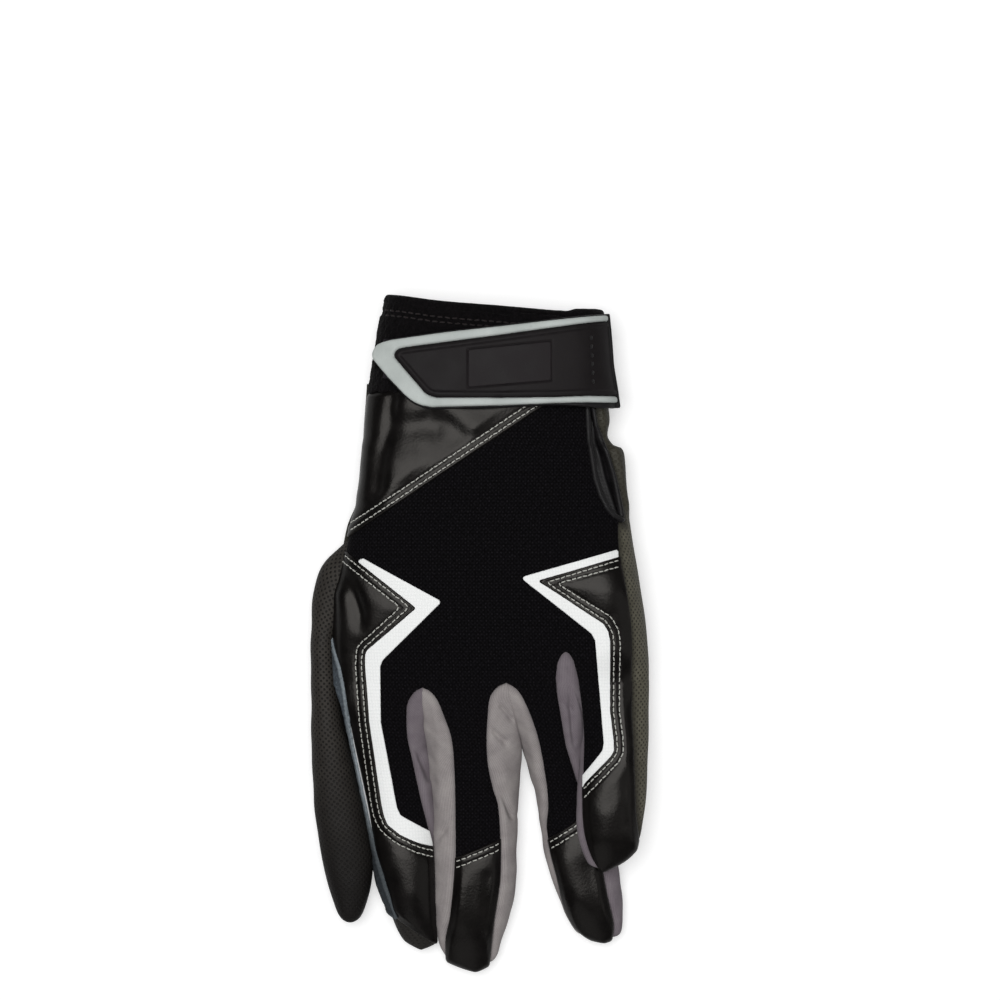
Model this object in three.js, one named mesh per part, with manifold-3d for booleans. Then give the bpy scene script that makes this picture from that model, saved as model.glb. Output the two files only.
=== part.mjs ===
// Left-hand youth batting glove, lying palm down with its wrist strap closed.
// Millimetres. +Z is up from the surface it lies on, +Y runs to the cuff, +X to the little finger.
// Plan points are measured from a point near the middle of the hand, and moved to the middle of the glove
// at the end.
import * as THREE from "three";
import { mergeVertices } from "three/addons/utils/BufferGeometryUtils.js";
import Module from "manifold-3d";

const wasm = await Module();
wasm.setup();

// Overall dimensions
const KNUCKLE_Y = -12;
const CUFF_LOW_Y = 64;
const CUFF_TOP_Y = 90;
const CUFF_EDGE = [[-60, 91.6], [22, 83.4], [60, 84.2]];
const HEM_DEPTH = 2.1;
const WALL = 1.1;
const CUFF_WALL = 1.8;
const GAP = 0.3;
const HAND_SIDES = 24;
const FINGER_SIDES = 14;
const SLIT_STEPS = 7;
const FLAT_CUT = 0.4;
const TIP_WRAP = 2.6;
const HAND_MID = 6.6;

// Layers above the cuff: loop patch, hook patch, strap base, moulded strap
const LOOP_LAYER = [0.3, 0.9];
const HOOK_LAYER = [1.2, 1.8];
const BASE_LAYER = [2.1, 2.9];
const FACE_LAYER = [3.2, 4.3];
const BADGE_LAYER = [3.2, 3.8];
const PRINT_LAYER = [0.3, 0.7];
const BINDING_LAYER = [0.3, 1.0];
const GUSSET_LAYER = [-2.1, -1.5];
const STRAP_HINGE_Z = 8.6;

// Thumb: pivot beside the palm, then a stall that lies along the index finger
const THUMB_PIVOT = [-30, 20];
const THUMB_PATH = [[-30, 20], [-36.6, 12.5], [-40.2, 0], [-40.55, -12], [-40.45, -21], [-39.3, -28],
  [-38, -36], [-35.6, -52], [-33.8, -64], [-32.7, -74]];
const THUMB_HEIGHT = 9.4;
const THUMB_SEAM_Z = 4.6;
const THUMB_NOTCH = 10.1;
const THUMB_CAP = 0.13;

// Colours
const LEATHER = 0x201e1d;
const FABRIC = 0x0e0d0f;
const STRETCH = 0x8b8786;
const PALM = 0x46433b;
const WHITE = 0xf0f1ef;
const RUBBER = 0x2a282a;
const BORDER = 0xaab2b0;
const KNIT = 0x121113;

// Smooth run of values through stations given as [place, value], places rising or falling.
function track(stations) {
  const rows = [...stations].sort((a, b) => a[0] - b[0]);
  const slope = (i) => {
    const lo = rows[Math.max(i - 1, 0)];
    const hi = rows[Math.min(i + 1, rows.length - 1)];
    return (hi[1] - lo[1]) / (hi[0] - lo[0]);
  };
  return (place) => {
    if (place <= rows[0][0]) return rows[0][1];
    if (place >= rows[rows.length - 1][0]) return rows[rows.length - 1][1];
    const i = rows.findIndex((row, k) => place <= rows[k + 1][0]);
    const span = rows[i + 1][0] - rows[i][0];
    const t = (place - rows[i][0]) / span;
    const bend = t * t * (3 - 2 * t);
    const start = slope(i) * span * t * (1 - t) * (1 - t);
    const end = slope(i + 1) * span * t * t * (1 - t);
    return rows[i][1] + (rows[i + 1][1] - rows[i][1]) * bend + start - end;
  };
}

const mix = (a, b, t) => a + (b - a) * t;

function ease(t) {
  const u = Math.min(Math.max(t, 0), 1);
  return u * u * (3 - 2 * u);
}

// Edges and heights of the hand and cuff, along Y
const radialEdge = track([[88, -24.6], [79, -27.4], [64, -28.4], [52, -30], [40, -32], [28, -33.6], [20, -34.8],
  [9, -36.8], [-1, -37.4], [-12, -36.2]]);
const ulnarEdge = track([[88, 31], [75, 32.4], [60, 32.8], [52, 33.8], [44, 36.2], [30, 37.6], [19, 39.5],
  [8, 41.4], [-1, 42.7], [-12, 43.4]]);
const handTop = track([[88, 15], [64, 16.2], [40, 17.8], [15, 18.2], [-12, 15.5]]);
const handBottom = track([[88, 3.3], [62, 3.3], [50, 1.2], [42, -FLAT_CUT], [-12, -FLAT_CUT]]);

function handSection(y, offset) {
  const left = radialEdge(y) - offset;
  const right = ulnarEdge(y) + offset;
  const centre = (left + right) / 2;
  return {
    centre, half: (right - left) / 2, mid: HAND_MID, top: handTop(y) + offset, bottom: handBottom(y) - offset,
    topPower: 2.6, bottomPower: 3.2,
  };
}

// Point of a cross-section. Angle 0 is its +X edge and a quarter turn is its top.
function sectionPoint(section, angle) {
  const c = Math.cos(angle);
  const s = Math.sin(angle);
  const power = s >= 0 ? section.topPower : section.bottomPower;
  const rise = s >= 0 ? section.top - section.mid : section.mid - section.bottom;
  const across = Math.sign(c) * Math.abs(c) ** (2 / power);
  const up = Math.abs(s) < 1e-9 ? 0 : Math.sign(s) * Math.abs(s) ** (2 / power);
  return [section.centre + section.half * across, section.mid + rise * up];
}

// Height of the hand's skin over a plan point at the knuckle line, upper or lower side.
function knuckleHeight(x, upper, offset) {
  const s = handSection(KNUCKLE_Y, offset);
  const a = Math.min(Math.abs(x - s.centre) / s.half, 1);
  const power = upper ? s.topPower : s.bottomPower;
  const rise = upper ? s.top - s.mid : s.bottom - s.mid;
  return s.mid + rise * (1 - a ** power) ** (1 / power);
}

// Fingers: centre line, half width and height along their length, and where their seams lie.
// A seam is a share of the half width, towards the index side and towards the little finger side.
const FINGERS = {
  index: {
    tip: -81.2, cap: 18, lift: 0, power: 2.4,
    centre: track([[-12, -25.95], [-31.5, -23.05], [-46, -21.1], [-59, -19.3], [-73, -16.9], [-81.2, -15.6]]),
    half: track([[-12, 10.2], [-31.5, 9.25], [-46, 8.5], [-59, 7.5], [-73, 6.7], [-81.2, 6.4]]),
    top: track([[0, 13.4], [0.35, 11.2], [0.6, 9.8], [1, 8.8]]),
    seams: {
      index: null,
      little: track([[0, 0.96], [0.07, 0.7], [0.16, 0.53], [0.36, 0.6], [0.56, 0.88], [1, 0.88]]),
    },
  },
  middle: {
    tip: -86.8, cap: 15, lift: 0, power: 2.4,
    centre: track([[-12, -4.6], [-32, -2.2], [-60, -1.3], [-86.8, -1.9]]),
    half: track([[-12, 10.5], [-32, 10.6], [-50, 10.3], [-70, 9.7], [-86.8, 8.9]]),
    top: track([[0, 15.2], [0.35, 12], [0.6, 10.4], [1, 9.2]]),
    seams: {
      index: track([[0, 0.96], [0.07, 0.68], [0.15, 0.55], [0.5, 0.5], [0.8, 0.74], [1, 0.9]]),
      little: track([[0, 0.96], [0.07, 0.62], [0.16, 0.48], [0.28, 0.4], [0.56, 0.66], [0.8, 0.64], [1, 0.84]]),
    },
  },
  ring: {
    tip: -79.4, cap: 16, lift: 0, power: 2.1,
    centre: track([[-12, 15.4], [-32, 18.2], [-50, 23.8], [-63, 27.6], [-79.4, 32]]),
    half: track([[-12, 6.9], [-32, 7], [-50, 8.6], [-63, 8.8], [-79.4, 7.6]]),
    top: track([[0, 15], [0.3, 10.4], [0.5, 8.8], [1, 8]]),
    seams: {
      index: track([[0, 0.96], [0.1, 0.66], [0.3, 0.44], [0.56, 0.76], [1, 0.93]]),
      little: track([[0, 0.96], [0.1, 0.76], [0.5, 0.66], [0.75, 0.55], [1, 0.72]]),
    },
  },
  pinky: {
    tip: -61.4, cap: 13, lift: 9.8, power: 2.1,
    centre: track([[-12, 33.05], [-32, 34.7], [-50, 33.9], [-61.4, 33.6]]),
    half: track([[-12, 10.3], [-32, 9.2], [-50, 8.1], [-61.4, 7.6]]),
    top: track([[0, 13.3], [0.3, 10], [0.6, 8.6], [1, 7.6]]),
    seams: { index: track([[0, 0.96], [0.25, 0.88], [1, 0.86]]), little: null },
    wrap: track([[0, 0.5], [0.4, 0.5], [0.8, 0.72], [1, 0.8]]),
  },
};

function fingerSection(finger, y, offset) {
  const t = (KNUCKLE_Y - y) / (KNUCKLE_Y - finger.tip);
  const into = Math.max(finger.cap - (y - finger.tip), 0) / finger.cap;
  const round = Math.sqrt(Math.max(1 - into * into, 0));
  const lift = finger.lift * Math.max(t, 0) ** 0.87;
  const height = finger.top(t);
  const mid = mix(HAND_MID, height * 0.42, ease(t / 0.3)) + lift;
  const up = lift + height - mid;
  const down = mid - lift + FLAT_CUT;
  const swell = 0.35 + 0.65 * round;
  return {
    t, centre: finger.centre(y), half: finger.half(y) * round + offset, mid,
    top: mid + up * swell + offset, bottom: mid - down * swell - offset,
    topPower: finger.power, bottomPower: finger.power + 0.4,
  };
}

// Ring of points around a finger. At the knuckle line it keeps to the hand's own section.
function fingerRing(finger, y, offset, count) {
  const section = fingerSection(finger, y, offset);
  const settle = ease(section.t / 0.32);
  const ring = [];
  for (let i = 0; i < count; i++) {
    const angle = (2 * Math.PI * i) / count;
    const [x, z] = sectionPoint(section, angle);
    const side = Math.abs(Math.sin(angle)) < 1e-6;
    const rooted = side ? section.mid : knuckleHeight(x, Math.sin(angle) > 0, offset);
    ring.push([x, y, mix(rooted, z, settle)]);
  }
  return ring;
}

function handRing(y, offset, count) {
  const section = handSection(y, offset);
  const ring = [];
  for (let i = 0; i < count; i++) {
    const [x, z] = sectionPoint(section, (2 * Math.PI * i) / count);
    ring.push([x, y, z]);
  }
  return ring;
}

// Closed solid from points and triangles, turned so that its faces point out.
function solid(points, triangles) {
  let volume = 0;
  for (const [a, b, c] of triangles) {
    const pa = new THREE.Vector3(...points[a]);
    const pb = new THREE.Vector3(...points[b]);
    volume += pa.dot(pb.cross(new THREE.Vector3(...points[c])));
  }
  const faces = volume < 0 ? triangles.map(([a, b, c]) => [a, c, b]) : triangles;
  const mesh = new wasm.Mesh({
    numProp: 3, vertProperties: new Float32Array(points.flat()), triVerts: new Uint32Array(faces.flat()),
  });
  return new wasm.Manifold(mesh);
}

// Solid through a row of rings, with flat ends.
function loft(rings) {
  const count = rings[0].length;
  const points = rings.flat();
  const triangles = [];
  for (let r = 0; r + 1 < rings.length; r++) {
    for (let i = 0; i < count; i++) {
      const j = (i + 1) % count;
      const a = r * count + i;
      const b = r * count + j;
      triangles.push([a, b, b + count], [a, b + count, a + count]);
    }
  }
  for (const [r, turn] of [[0, false], [rings.length - 1, true]]) {
    const middle = new THREE.Vector3();
    for (const p of rings[r]) middle.add(new THREE.Vector3(...p).divideScalar(count));
    points.push(middle.toArray());
    const hub = points.length - 1;
    for (let i = 0; i < count; i++) {
      const a = r * count + i;
      const b = r * count + ((i + 1) % count);
      triangles.push(turn ? [a, b, hub] : [b, a, hub]);
    }
  }
  return solid(points, triangles);
}

// Upright prism over a plan outline. Its floor and roof can be numbers or heights along Y.
function prism(outline, floor, roof) {
  const shape = new THREE.Shape(outline.map(([x, y]) => new THREE.Vector2(x, y)));
  const geometry = new THREE.ExtrudeGeometry(shape, { depth: 1, bevelEnabled: false });
  geometry.deleteAttribute("normal");
  geometry.deleteAttribute("uv");
  const merged = mergeVertices(geometry, 1e-4);
  const level = (value, y) => (typeof value === "function" ? value(y) : value);
  const points = [];
  const position = merged.attributes.position;
  for (let i = 0; i < position.count; i++) {
    const y = position.getY(i);
    const z = position.getZ(i) > 0.5 ? level(roof, y) : level(floor, y);
    points.push([position.getX(i), y, z]);
  }
  const triangles = [];
  for (let i = 0; i < merged.index.count; i += 3) {
    triangles.push([merged.index.getX(i), merged.index.getX(i + 1), merged.index.getX(i + 2)]);
  }
  return solid(points, triangles);
}

// Outline moved outwards by a distance, its corners mitred.
function outset(outline, distance) {
  const area = THREE.ShapeUtils.area(outline.map(([x, y]) => new THREE.Vector2(x, y)));
  const side = Math.sign(area) * distance;
  return outline.map((point, i) => {
    const before = outline[(i + outline.length - 1) % outline.length];
    const after = outline[(i + 1) % outline.length];
    const p = new THREE.Vector2(...point);
    const d1 = p.clone().sub(new THREE.Vector2(...before)).normalize();
    const d2 = new THREE.Vector2(...after).sub(p).normalize();
    const n1 = new THREE.Vector2(d1.y, -d1.x);
    const n2 = new THREE.Vector2(d2.y, -d2.x);
    const lean = n1.add(n2).normalize();
    const stretch = Math.max(lean.dot(new THREE.Vector2(d2.y, -d2.x)), 0.4);
    return [p.x + (lean.x * side) / stretch, p.y + (lean.y * side) / stretch];
  });
}

function steps(from, to, count) {
  return Array.from({ length: count + 1 }, (_, i) => mix(from, to, i / count));
}

const FLOOR = -30;
const ROOF = 60;
const WIDE = 80;
const ground = prism([[-WIDE, -120], [WIDE, -120], [WIDE, 120], [-WIDE, 120]], 0, ROOF);

// Solid of the hand or cuff between two places along Y, grown by an offset.
function handSolid(from, to, offset, count) {
  return loft(steps(from, to, count).map((y) => handRing(y, offset, HAND_SIDES)));
}

// Sheet that follows the hand between two offsets of its skin.
function handLayer(from, to, [low, high], count) {
  return handSolid(from, to, high, count).subtract(handSolid(from - 1, to + 1, low, count));
}

const pieces = [];

// Each piece stops at the ground and is its largest body, without the crumbs where two cuts meet.
function add(name, body, colour, roughness) {
  const bodies = body.intersect(ground).decompose();
  const largest = bodies.reduce((a, b) => (b.volume() > a.volume() ? b : a));
  pieces.push({ name, body: largest, colour, roughness });
}

// Thumb tube: rings square to its path, flattened, with a round tip
const thumbHalf = track([[0, 9.2], [0.1, 7.4], [0.236, 4.4], [0.36, 3.9], [0.45, 3.85], [0.525, 4.5],
  [0.61, 5.55], [0.77, 6.6], [0.9, 5.6], [1, 4.6]]);
const thumbTall = track([[0, THUMB_HEIGHT], [0.25, 10.2], [0.5, 10.6], [0.85, 9.8], [1, 8.8]]);
const thumbCurve = new THREE.CatmullRomCurve3(THUMB_PATH.map(([x, y]) => new THREE.Vector3(x, y, 0)));

function thumbSolid(offset, root) {
  const rings = [];
  if (root) {
    const start = thumbCurve.getPointAt(0);
    const back = thumbCurve.getTangentAt(0).multiplyScalar(-1);
    rings.push(thumbRing(start.add(back), back.multiplyScalar(-1), 0, offset));
  }
  const last = offset < 0 ? 0.965 : 0.985;
  for (const t of [0, 0.1, 0.236, 0.36, 0.45, 0.53, 0.61, 0.77, 0.87, 0.93, last]) {
    rings.push(thumbRing(thumbCurve.getPointAt(t), thumbCurve.getTangentAt(t), t, offset));
  }
  return loft(rings);
}

function thumbRing(point, tangent, t, offset) {
  const into = Math.max(t - 1 + THUMB_CAP, 0) / THUMB_CAP;
  const round = Math.sqrt(1 - into * into);
  const height = thumbTall(t) * (0.4 + 0.6 * round);
  const mid = thumbTall(t) * 0.45;
  const section = {
    centre: 0, half: thumbHalf(t) * round + offset, mid, top: mid + height * 0.55 + offset,
    bottom: mid - height * 0.45 - FLAT_CUT * round - offset, topPower: 2.3, bottomPower: 2.8,
  };
  const ring = [];
  for (let i = 0; i < FINGER_SIDES; i++) {
    const [across, z] = sectionPoint(section, (2 * Math.PI * i) / FINGER_SIDES);
    ring.push([point.x - tangent.y * across, point.y + tangent.x * across, z]);
  }
  return ring;
}

function circle([x, y], radius, count) {
  return Array.from({ length: count }, (_, i) => {
    const angle = (2 * Math.PI * i) / count;
    return [x + radius * Math.cos(angle), y + radius * Math.sin(angle)];
  });
}

const thumbRoom = prism(circle(THUMB_PIVOT, THUMB_NOTCH, 28), FLOOR, THUMB_HEIGHT + 0.6)
  .add(thumbSolid(0.45, true));

// Seams on the back of the hand, as plan outlines that run past its edges
const WRIST_PANEL = [[-60, 7.3], [27.1, 66], [-60, 66]];
const INDEX_PANEL = [[-60, 42.4], [-16.3, 7.3], [-29.2, -5.2], [-28.9, -14], [-60, -14]];
const PINKY_PANEL = [[60, 27.4], [14.9, 14.3], [31.7, 3.1], [32.6, -3], [33.3, -14], [60, -14]];
const INDEX_PRINT = [[-33.6, 22.2], [-11.4, 7.5], [-25.7, -5.2], [-25.6, -11.7], [-28.5, -11.7], [-28.8, -5],
  [-15.7, 7.4], [-33.6, 21.6]];
const PINKY_PRINT = [[34.6, 22.4], [10.6, 14.5], [29.4, 2], [30.2, -3.2], [30.6, -11.7], [32.8, -11.7],
  [32.2, -3.2], [31.3, 3.1], [14.2, 14.4], [35, 20.6]];

// Slit at the little finger side of the wrist, under the strap, and the tape along its edges
const slitLine = new THREE.SplineCurve([[29.8, 90], [29.8, 60], [30, 50], [32, 40], [35.6, 31]].map(
  (p) => new THREE.Vector2(...p)));

function slitBand(inner, outer) {
  const line = slitLine.getPoints(SLIT_STEPS);
  const side = (distance) => line.map((p, i) => {
    const tangent = slitLine.getTangent(i / SLIT_STEPS);
    return [p.x - tangent.y * distance, p.y + tangent.x * distance];
  });
  return [...side(inner), ...side(outer).reverse()];
}

const slit = prism(slitBand(-1.3, 1.3), HAND_MID, ROOF);
const ulnarSeam = track([[50, 37], [28, 34.6], [14, 35.5], [-1, 36.7], [-12, 38.2]]);

// Back region of the hand: above mid height and on the thumb's side of the seam at the little finger edge
const ulnarLine = steps(30, -16, 8).map((y) => [ulnarSeam(y), y]);
const backOutline = [[-60, 70], [60, 70], [60, 31], ...ulnarLine, [-60, -16]];
const backRoom = prism(backOutline, HAND_MID + GAP / 2, ROOF);
const backRoomWide = prism(outset(backOutline, GAP), HAND_MID - GAP / 2, ROOF);
const slitHalf = [...slitBand(0, 1).slice(0, SLIT_STEPS + 1), [60, 31], [60, 90]];
const slitSide = prism(slitHalf, HAND_MID - 2, ROOF + 1);

const shell = handSolid(KNUCKLE_Y, CUFF_LOW_Y, 0, 8)
  .subtract(handSolid(KNUCKLE_Y - 1, CUFF_LOW_Y + 1, -WALL, 8)).subtract(thumbRoom).subtract(slit);
const backShell = shell.intersect(backRoom).subtract(slitSide);

const wristRoom = prism(WRIST_PANEL, FLOOR, ROOF);
const indexRoom = prism(INDEX_PANEL, FLOOR, ROOF);
const pinkyRoom = prism(PINKY_PANEL, FLOOR, ROOF);
const panelRooms = [WRIST_PANEL, INDEX_PANEL, PINKY_PANEL].map((o) => prism(outset(o, GAP), FLOOR, ROOF));
add("back_panel", panelRooms.reduce((body, room) => body.subtract(room), backShell), FABRIC, 0.9);
add("wrist_panel", backShell.intersect(wristRoom).subtract(panelRooms[1]), LEATHER, 0.5);
add("index_side_panel", backShell.intersect(indexRoom), LEATHER, 0.5);
add("pinky_side_panel", backShell.intersect(pinkyRoom), LEATHER, 0.5);
add("palm_panel", shell.subtract(backRoomWide.subtract(slitSide)), PALM, 0.6);

const printLayer = handLayer(KNUCKLE_Y, 40, PRINT_LAYER, 6);
const indexPrint = prism(INDEX_PRINT, HAND_MID + 1, ROOF).subtract(thumbRoom);
add("index_side_print", printLayer.intersect(indexPrint), WHITE, 0.6);
add("pinky_side_print", printLayer.intersect(prism(PINKY_PRINT, HAND_MID + 1, ROOF)), WHITE, 0.6);

// Cuff: back and palm bands with a bound top edge that falls towards the little finger side
const cuffTube = handSolid(CUFF_LOW_Y + GAP, CUFF_TOP_Y, 0, 4)
  .subtract(handSolid(CUFF_LOW_Y - 1, CUFF_TOP_Y + 1, -CUFF_WALL, 4)).subtract(slit);

function underEdge(drop) {
  const edge = CUFF_EDGE.map(([x, y]) => [x, y - drop]);
  return prism([...edge, [60, 50], [-60, 50]], FLOOR, ROOF);
}

const cuffShell = cuffTube.intersect(underEdge(HEM_DEPTH + GAP));
const cuffBand = [[-60, 60], [60, 60], [60, 95], [-60, 95]];
const cuffBack = prism(cuffBand, HAND_MID + GAP / 2, ROOF);
const cuffPalm = prism(cuffBand, FLOOR, HAND_MID - GAP / 2);
add("cuff_back", cuffShell.intersect(cuffBack).subtract(slitSide), KNIT, 0.95);
add("cuff_palm", cuffShell.intersect(cuffPalm.add(slitSide)), KNIT, 0.95);
add("cuff_hem", cuffTube.intersect(underEdge(0)).subtract(underEdge(HEM_DEPTH)), KNIT, 0.95);

// Tape along both edges of the slit, and the stretch gusset behind it
const tapeLayer = handLayer(33.5, CUFF_LOW_Y - 5, BINDING_LAYER, 6);
add("slit_tape_back", tapeLayer.intersect(prism(slitBand(-3.2, -1.2), HAND_MID, ROOF)), KNIT, 0.9);
add("slit_tape_palm", tapeLayer.intersect(prism(slitBand(1.2, 2.8), HAND_MID, ROOF)), KNIT, 0.9);
const gussetLayer = handLayer(36, CUFF_LOW_Y - 2, GUSSET_LAYER, 6);
add("slit_gusset", gussetLayer.intersect(prism(slitBand(-4.5, 3.5), HAND_MID + 0.5, ROOF)), KNIT, 0.95);

// Strap: outline of the moulded face, tip towards the thumb
const STRAP = [[45, 83.4], [33.8, 82.4], [10.3, 79.8], [-12.9, 77.3], [-22.2, 76], [-26.4, 74.4], [-28.2, 72.2],
  [-27.4, 70.2], [-19.4, 62], [-16.9, 60.4], [-13.8, 59.6], [5.2, 59.3], [35.2, 59.4], [45, 59.4]];
const STRAP_INNER = [[45, 80.8], [33.5, 79.8], [10.2, 77.3], [-12.9, 74.8], [-19, 73.9], [-22.6, 72],
  [-15.2, 63.4], [-11.5, 61.8], [5.2, 61.8], [35.2, 61.9], [45, 61.9]];
const BADGE = [[-3, 73.6], [18.8, 75.8], [18.8, 64.8], [-3, 63.8]];
const overHinge = STRAP_HINGE_Z + GAP / 2;

function strapLayer(range) {
  return handLayer(57, 86, range, 5);
}

const strapPrism = prism(STRAP, overHinge, ROOF);
const innerPrism = prism(outset(STRAP_INNER, -GAP / 2), overHinge, ROOF);
const innerHole = prism(outset(STRAP_INNER, GAP / 2), FLOOR, ROOF);
const baseLayer = strapLayer(BASE_LAYER);
const faceLayer = strapLayer(FACE_LAYER);
add("strap_base", baseLayer.intersect(prism(outset(STRAP, 0.4), overHinge, ROOF)), KNIT, 0.9);
add("strap_border", faceLayer.intersect(strapPrism).subtract(innerHole), BORDER, 0.7);
const badgeHole = prism(outset(BADGE, GAP), FLOOR, ROOF);
add("strap_face", faceLayer.intersect(innerPrism).subtract(badgeHole), RUBBER, 0.7);
add("strap_badge", strapLayer(BADGE_LAYER).intersect(prism(BADGE, overHinge, ROOF)), RUBBER, 0.6);
add("hook_patch", strapLayer(HOOK_LAYER).intersect(
  prism([[-23.4, 72.4], [-16.6, 64.4], [2, 63.6], [2, 75.6], [-18, 74]], HAND_MID + 2, ROOF)), KNIT, 1);
add("loop_patch", handLayer(65, 84, LOOP_LAYER, 4).intersect(
  prism([[-24.4, 66], [12, 65.4], [12, 78], [-24.4, 76]], HAND_MID + 2, ROOF)), KNIT, 1);
const anchorRoom = prism([[8, 60.6], [45, 60.6], [45, 82], [8, 80]], FLOOR, STRAP_HINGE_Z - GAP / 2);
add("strap_anchor", strapLayer([BASE_LAYER[0], FACE_LAYER[0]]).intersect(anchorRoom), KNIT, 0.9);

// Finger stalls
const INDEX_LEATHER = [[-60, -10], [-28.9, -10], [-27.9, -23.7], [-25.5, -40.5], [-23.9, -50], [-9, -56],
  [-9, -100], [-60, -100]];
const PINKY_LEATHER = [[60, -10], [33.2, -10], [33.6, -18.3], [34, -29.7], [22, -43.4], [22, -100], [60, -100]];
const MIDDLE_LEATHER = [[-30, -67], [30, -46.4], [30, -100], [-30, -100]];
const RING_LEATHER = [[0, -60.5], [40, -40.5], [60, -100], [0, -100]];
const INDEX_STRIPE = [[-28.2, -13.2], [-27.3, -23.7], [-24.9, -40.5], [-23.3, -49.4], [-14.5, -53],
  [-14.5, -50.2], [-20.8, -47.4], [-22.2, -40.5], [-24.6, -23.7], [-25.4, -13.2]];
const PINKY_STRIPE = [[32.6, -13.2], [33, -18.3], [33.3, -29.4], [27.6, -36.2], [27.6, -33], [31.2, -28.8],
  [30.8, -18.3], [30.4, -13.2]];

function fingerPlaces(finger) {
  const length = KNUCKLE_Y - finger.tip;
  const shares = [0, 0.12, 0.26, 0.44, 0.62, 0.78, 0.88, 0.95, 0.985];
  return shares.map((t) => KNUCKLE_Y - GAP - t * (length - GAP));
}

function fingerSolid(finger, offset, open) {
  const places = fingerPlaces(finger);
  if (open) {
    const last = places.length - 1;
    places[last] = places[last] + WALL;
    places.unshift(KNUCKLE_Y + 1);
  }
  return loft(places.map((y) => fingerRing(finger, y, offset, FINGER_SIDES)));
}

// Plan outline between two seams of a finger, given as shares of its half width.
function stripOutline(finger, left, right) {
  const places = steps(KNUCKLE_Y + 2, finger.tip - 2, 9);
  const edge = (share, sign) => (y) => {
    const t = Math.max((KNUCKLE_Y - y) / (KNUCKLE_Y - finger.tip), 0);
    const half = Math.max(fingerSection(finger, y, 0).half, 1.2);
    return share ? finger.centre(y) + sign * share(t) * half : finger.centre(y) + sign * 26;
  };
  const a = edge(left, -1);
  const b = edge(right, 1);
  return [...places.map((y) => [a(y), y]), ...places.reverse().map((y) => [b(y), y])];
}

function addFinger(name, leather, hasFabric) {
  const finger = FINGERS[name];
  const mid = (shift) => (y) => fingerSection(finger, Math.max(y, finger.tip), 0).mid + shift;
  const stall = fingerSolid(finger, 0, false).subtract(fingerSolid(finger, -WALL, true));
  const { index, little } = finger.seams;
  const top = stripOutline(finger, index, finger.wrap ?? little);
  const topRoom = prism(top, mid(GAP / 2), ROOF);
  const topWide = prism(outset(top, GAP), mid(-GAP / 2), ROOF);
  const palmShare = () => 0.72;
  const bottom = stripOutline(finger, index && palmShare, little && palmShare);
  const tipX = finger.centre(finger.tip);
  const tipEnd = (depth) => prism([[tipX - 15, finger.tip - 3], [tipX + 15, finger.tip - 3],
    [tipX + 15, finger.tip + depth], [tipX - 15, finger.tip + depth]], FLOOR, ROOF);
  let palmRoom = prism(bottom, FLOOR, mid(-GAP / 2)).add(tipEnd(TIP_WRAP));
  let palmWide = prism(outset(bottom, GAP), FLOOR, mid(GAP / 2)).add(tipEnd(TIP_WRAP + GAP));
  if (finger.wrap) {
    const outer = stripOutline(finger, () => 0, null);
    palmRoom = palmRoom.add(prism(outer, FLOOR, ROOF));
    palmWide = palmWide.add(prism(outset(outer, GAP), FLOOR, ROOF));
  }
  const rest = stall.subtract(topWide);
  const back = stall.intersect(topRoom);
  add(`${name}_leather`, back.intersect(prism(leather, FLOOR, ROOF)), LEATHER, 0.5);
  if (hasFabric) add(`${name}_fabric`, back.subtract(prism(outset(leather, GAP), FLOOR, ROOF)), FABRIC, 0.9);
  add(`${name}_palm`, rest.intersect(palmRoom), PALM, 0.6);
  const walls = rest.subtract(palmWide);
  const half = (sign) => {
    const places = steps(KNUCKLE_Y + 2, finger.tip - 2, 6);
    const line = places.map((y) => [finger.centre(y), y]);
    const far = places.map((y) => [finger.centre(y) + sign * 30, y]).reverse();
    return prism([...line, ...far], FLOOR, ROOF);
  };
  if (index) add(`${name}_gusset_index_side`, walls.intersect(half(-1)), STRETCH, 0.85);
  if (little) add(`${name}_gusset_little_side`, walls.intersect(half(1)), STRETCH, 0.85);
}

addFinger("index", INDEX_LEATHER, true);
addFinger("middle", MIDDLE_LEATHER, true);
addFinger("ring", RING_LEATHER, true);
addFinger("pinky", PINKY_LEATHER, true);

// Print along the leather on the index and little fingers
function fingerLayer(name, [low, high]) {
  const finger = FINGERS[name];
  const grown = (offset, from, to) => {
    const places = steps(from, to, 6);
    return loft(places.map((y) => fingerRing(finger, y, offset, FINGER_SIDES)));
  };
  return grown(high, -13, -56).subtract(grown(low, -12, -57));
}

const indexStripe = prism(INDEX_STRIPE, HAND_MID, ROOF);
const pinkyStripe = prism(PINKY_STRIPE, HAND_MID, ROOF);
add("index_stripe", fingerLayer("index", PRINT_LAYER).intersect(indexStripe), WHITE, 0.6);
add("pinky_stripe", fingerLayer("pinky", PRINT_LAYER).intersect(pinkyStripe), WHITE, 0.6);

// Thumb stall: back and front halves
const thumbShell = thumbSolid(0, false).subtract(thumbSolid(-WALL, true));
const field = [[-90, -90], [-5, -90], [-5, 60], [-90, 60]];
add("thumb_back", thumbShell.intersect(prism(field, THUMB_SEAM_Z + GAP / 2, ROOF)), PALM, 0.6);
add("thumb_front", thumbShell.intersect(prism(field, FLOOR, THUMB_SEAM_Z - GAP / 2)), PALM, 0.6);

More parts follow.
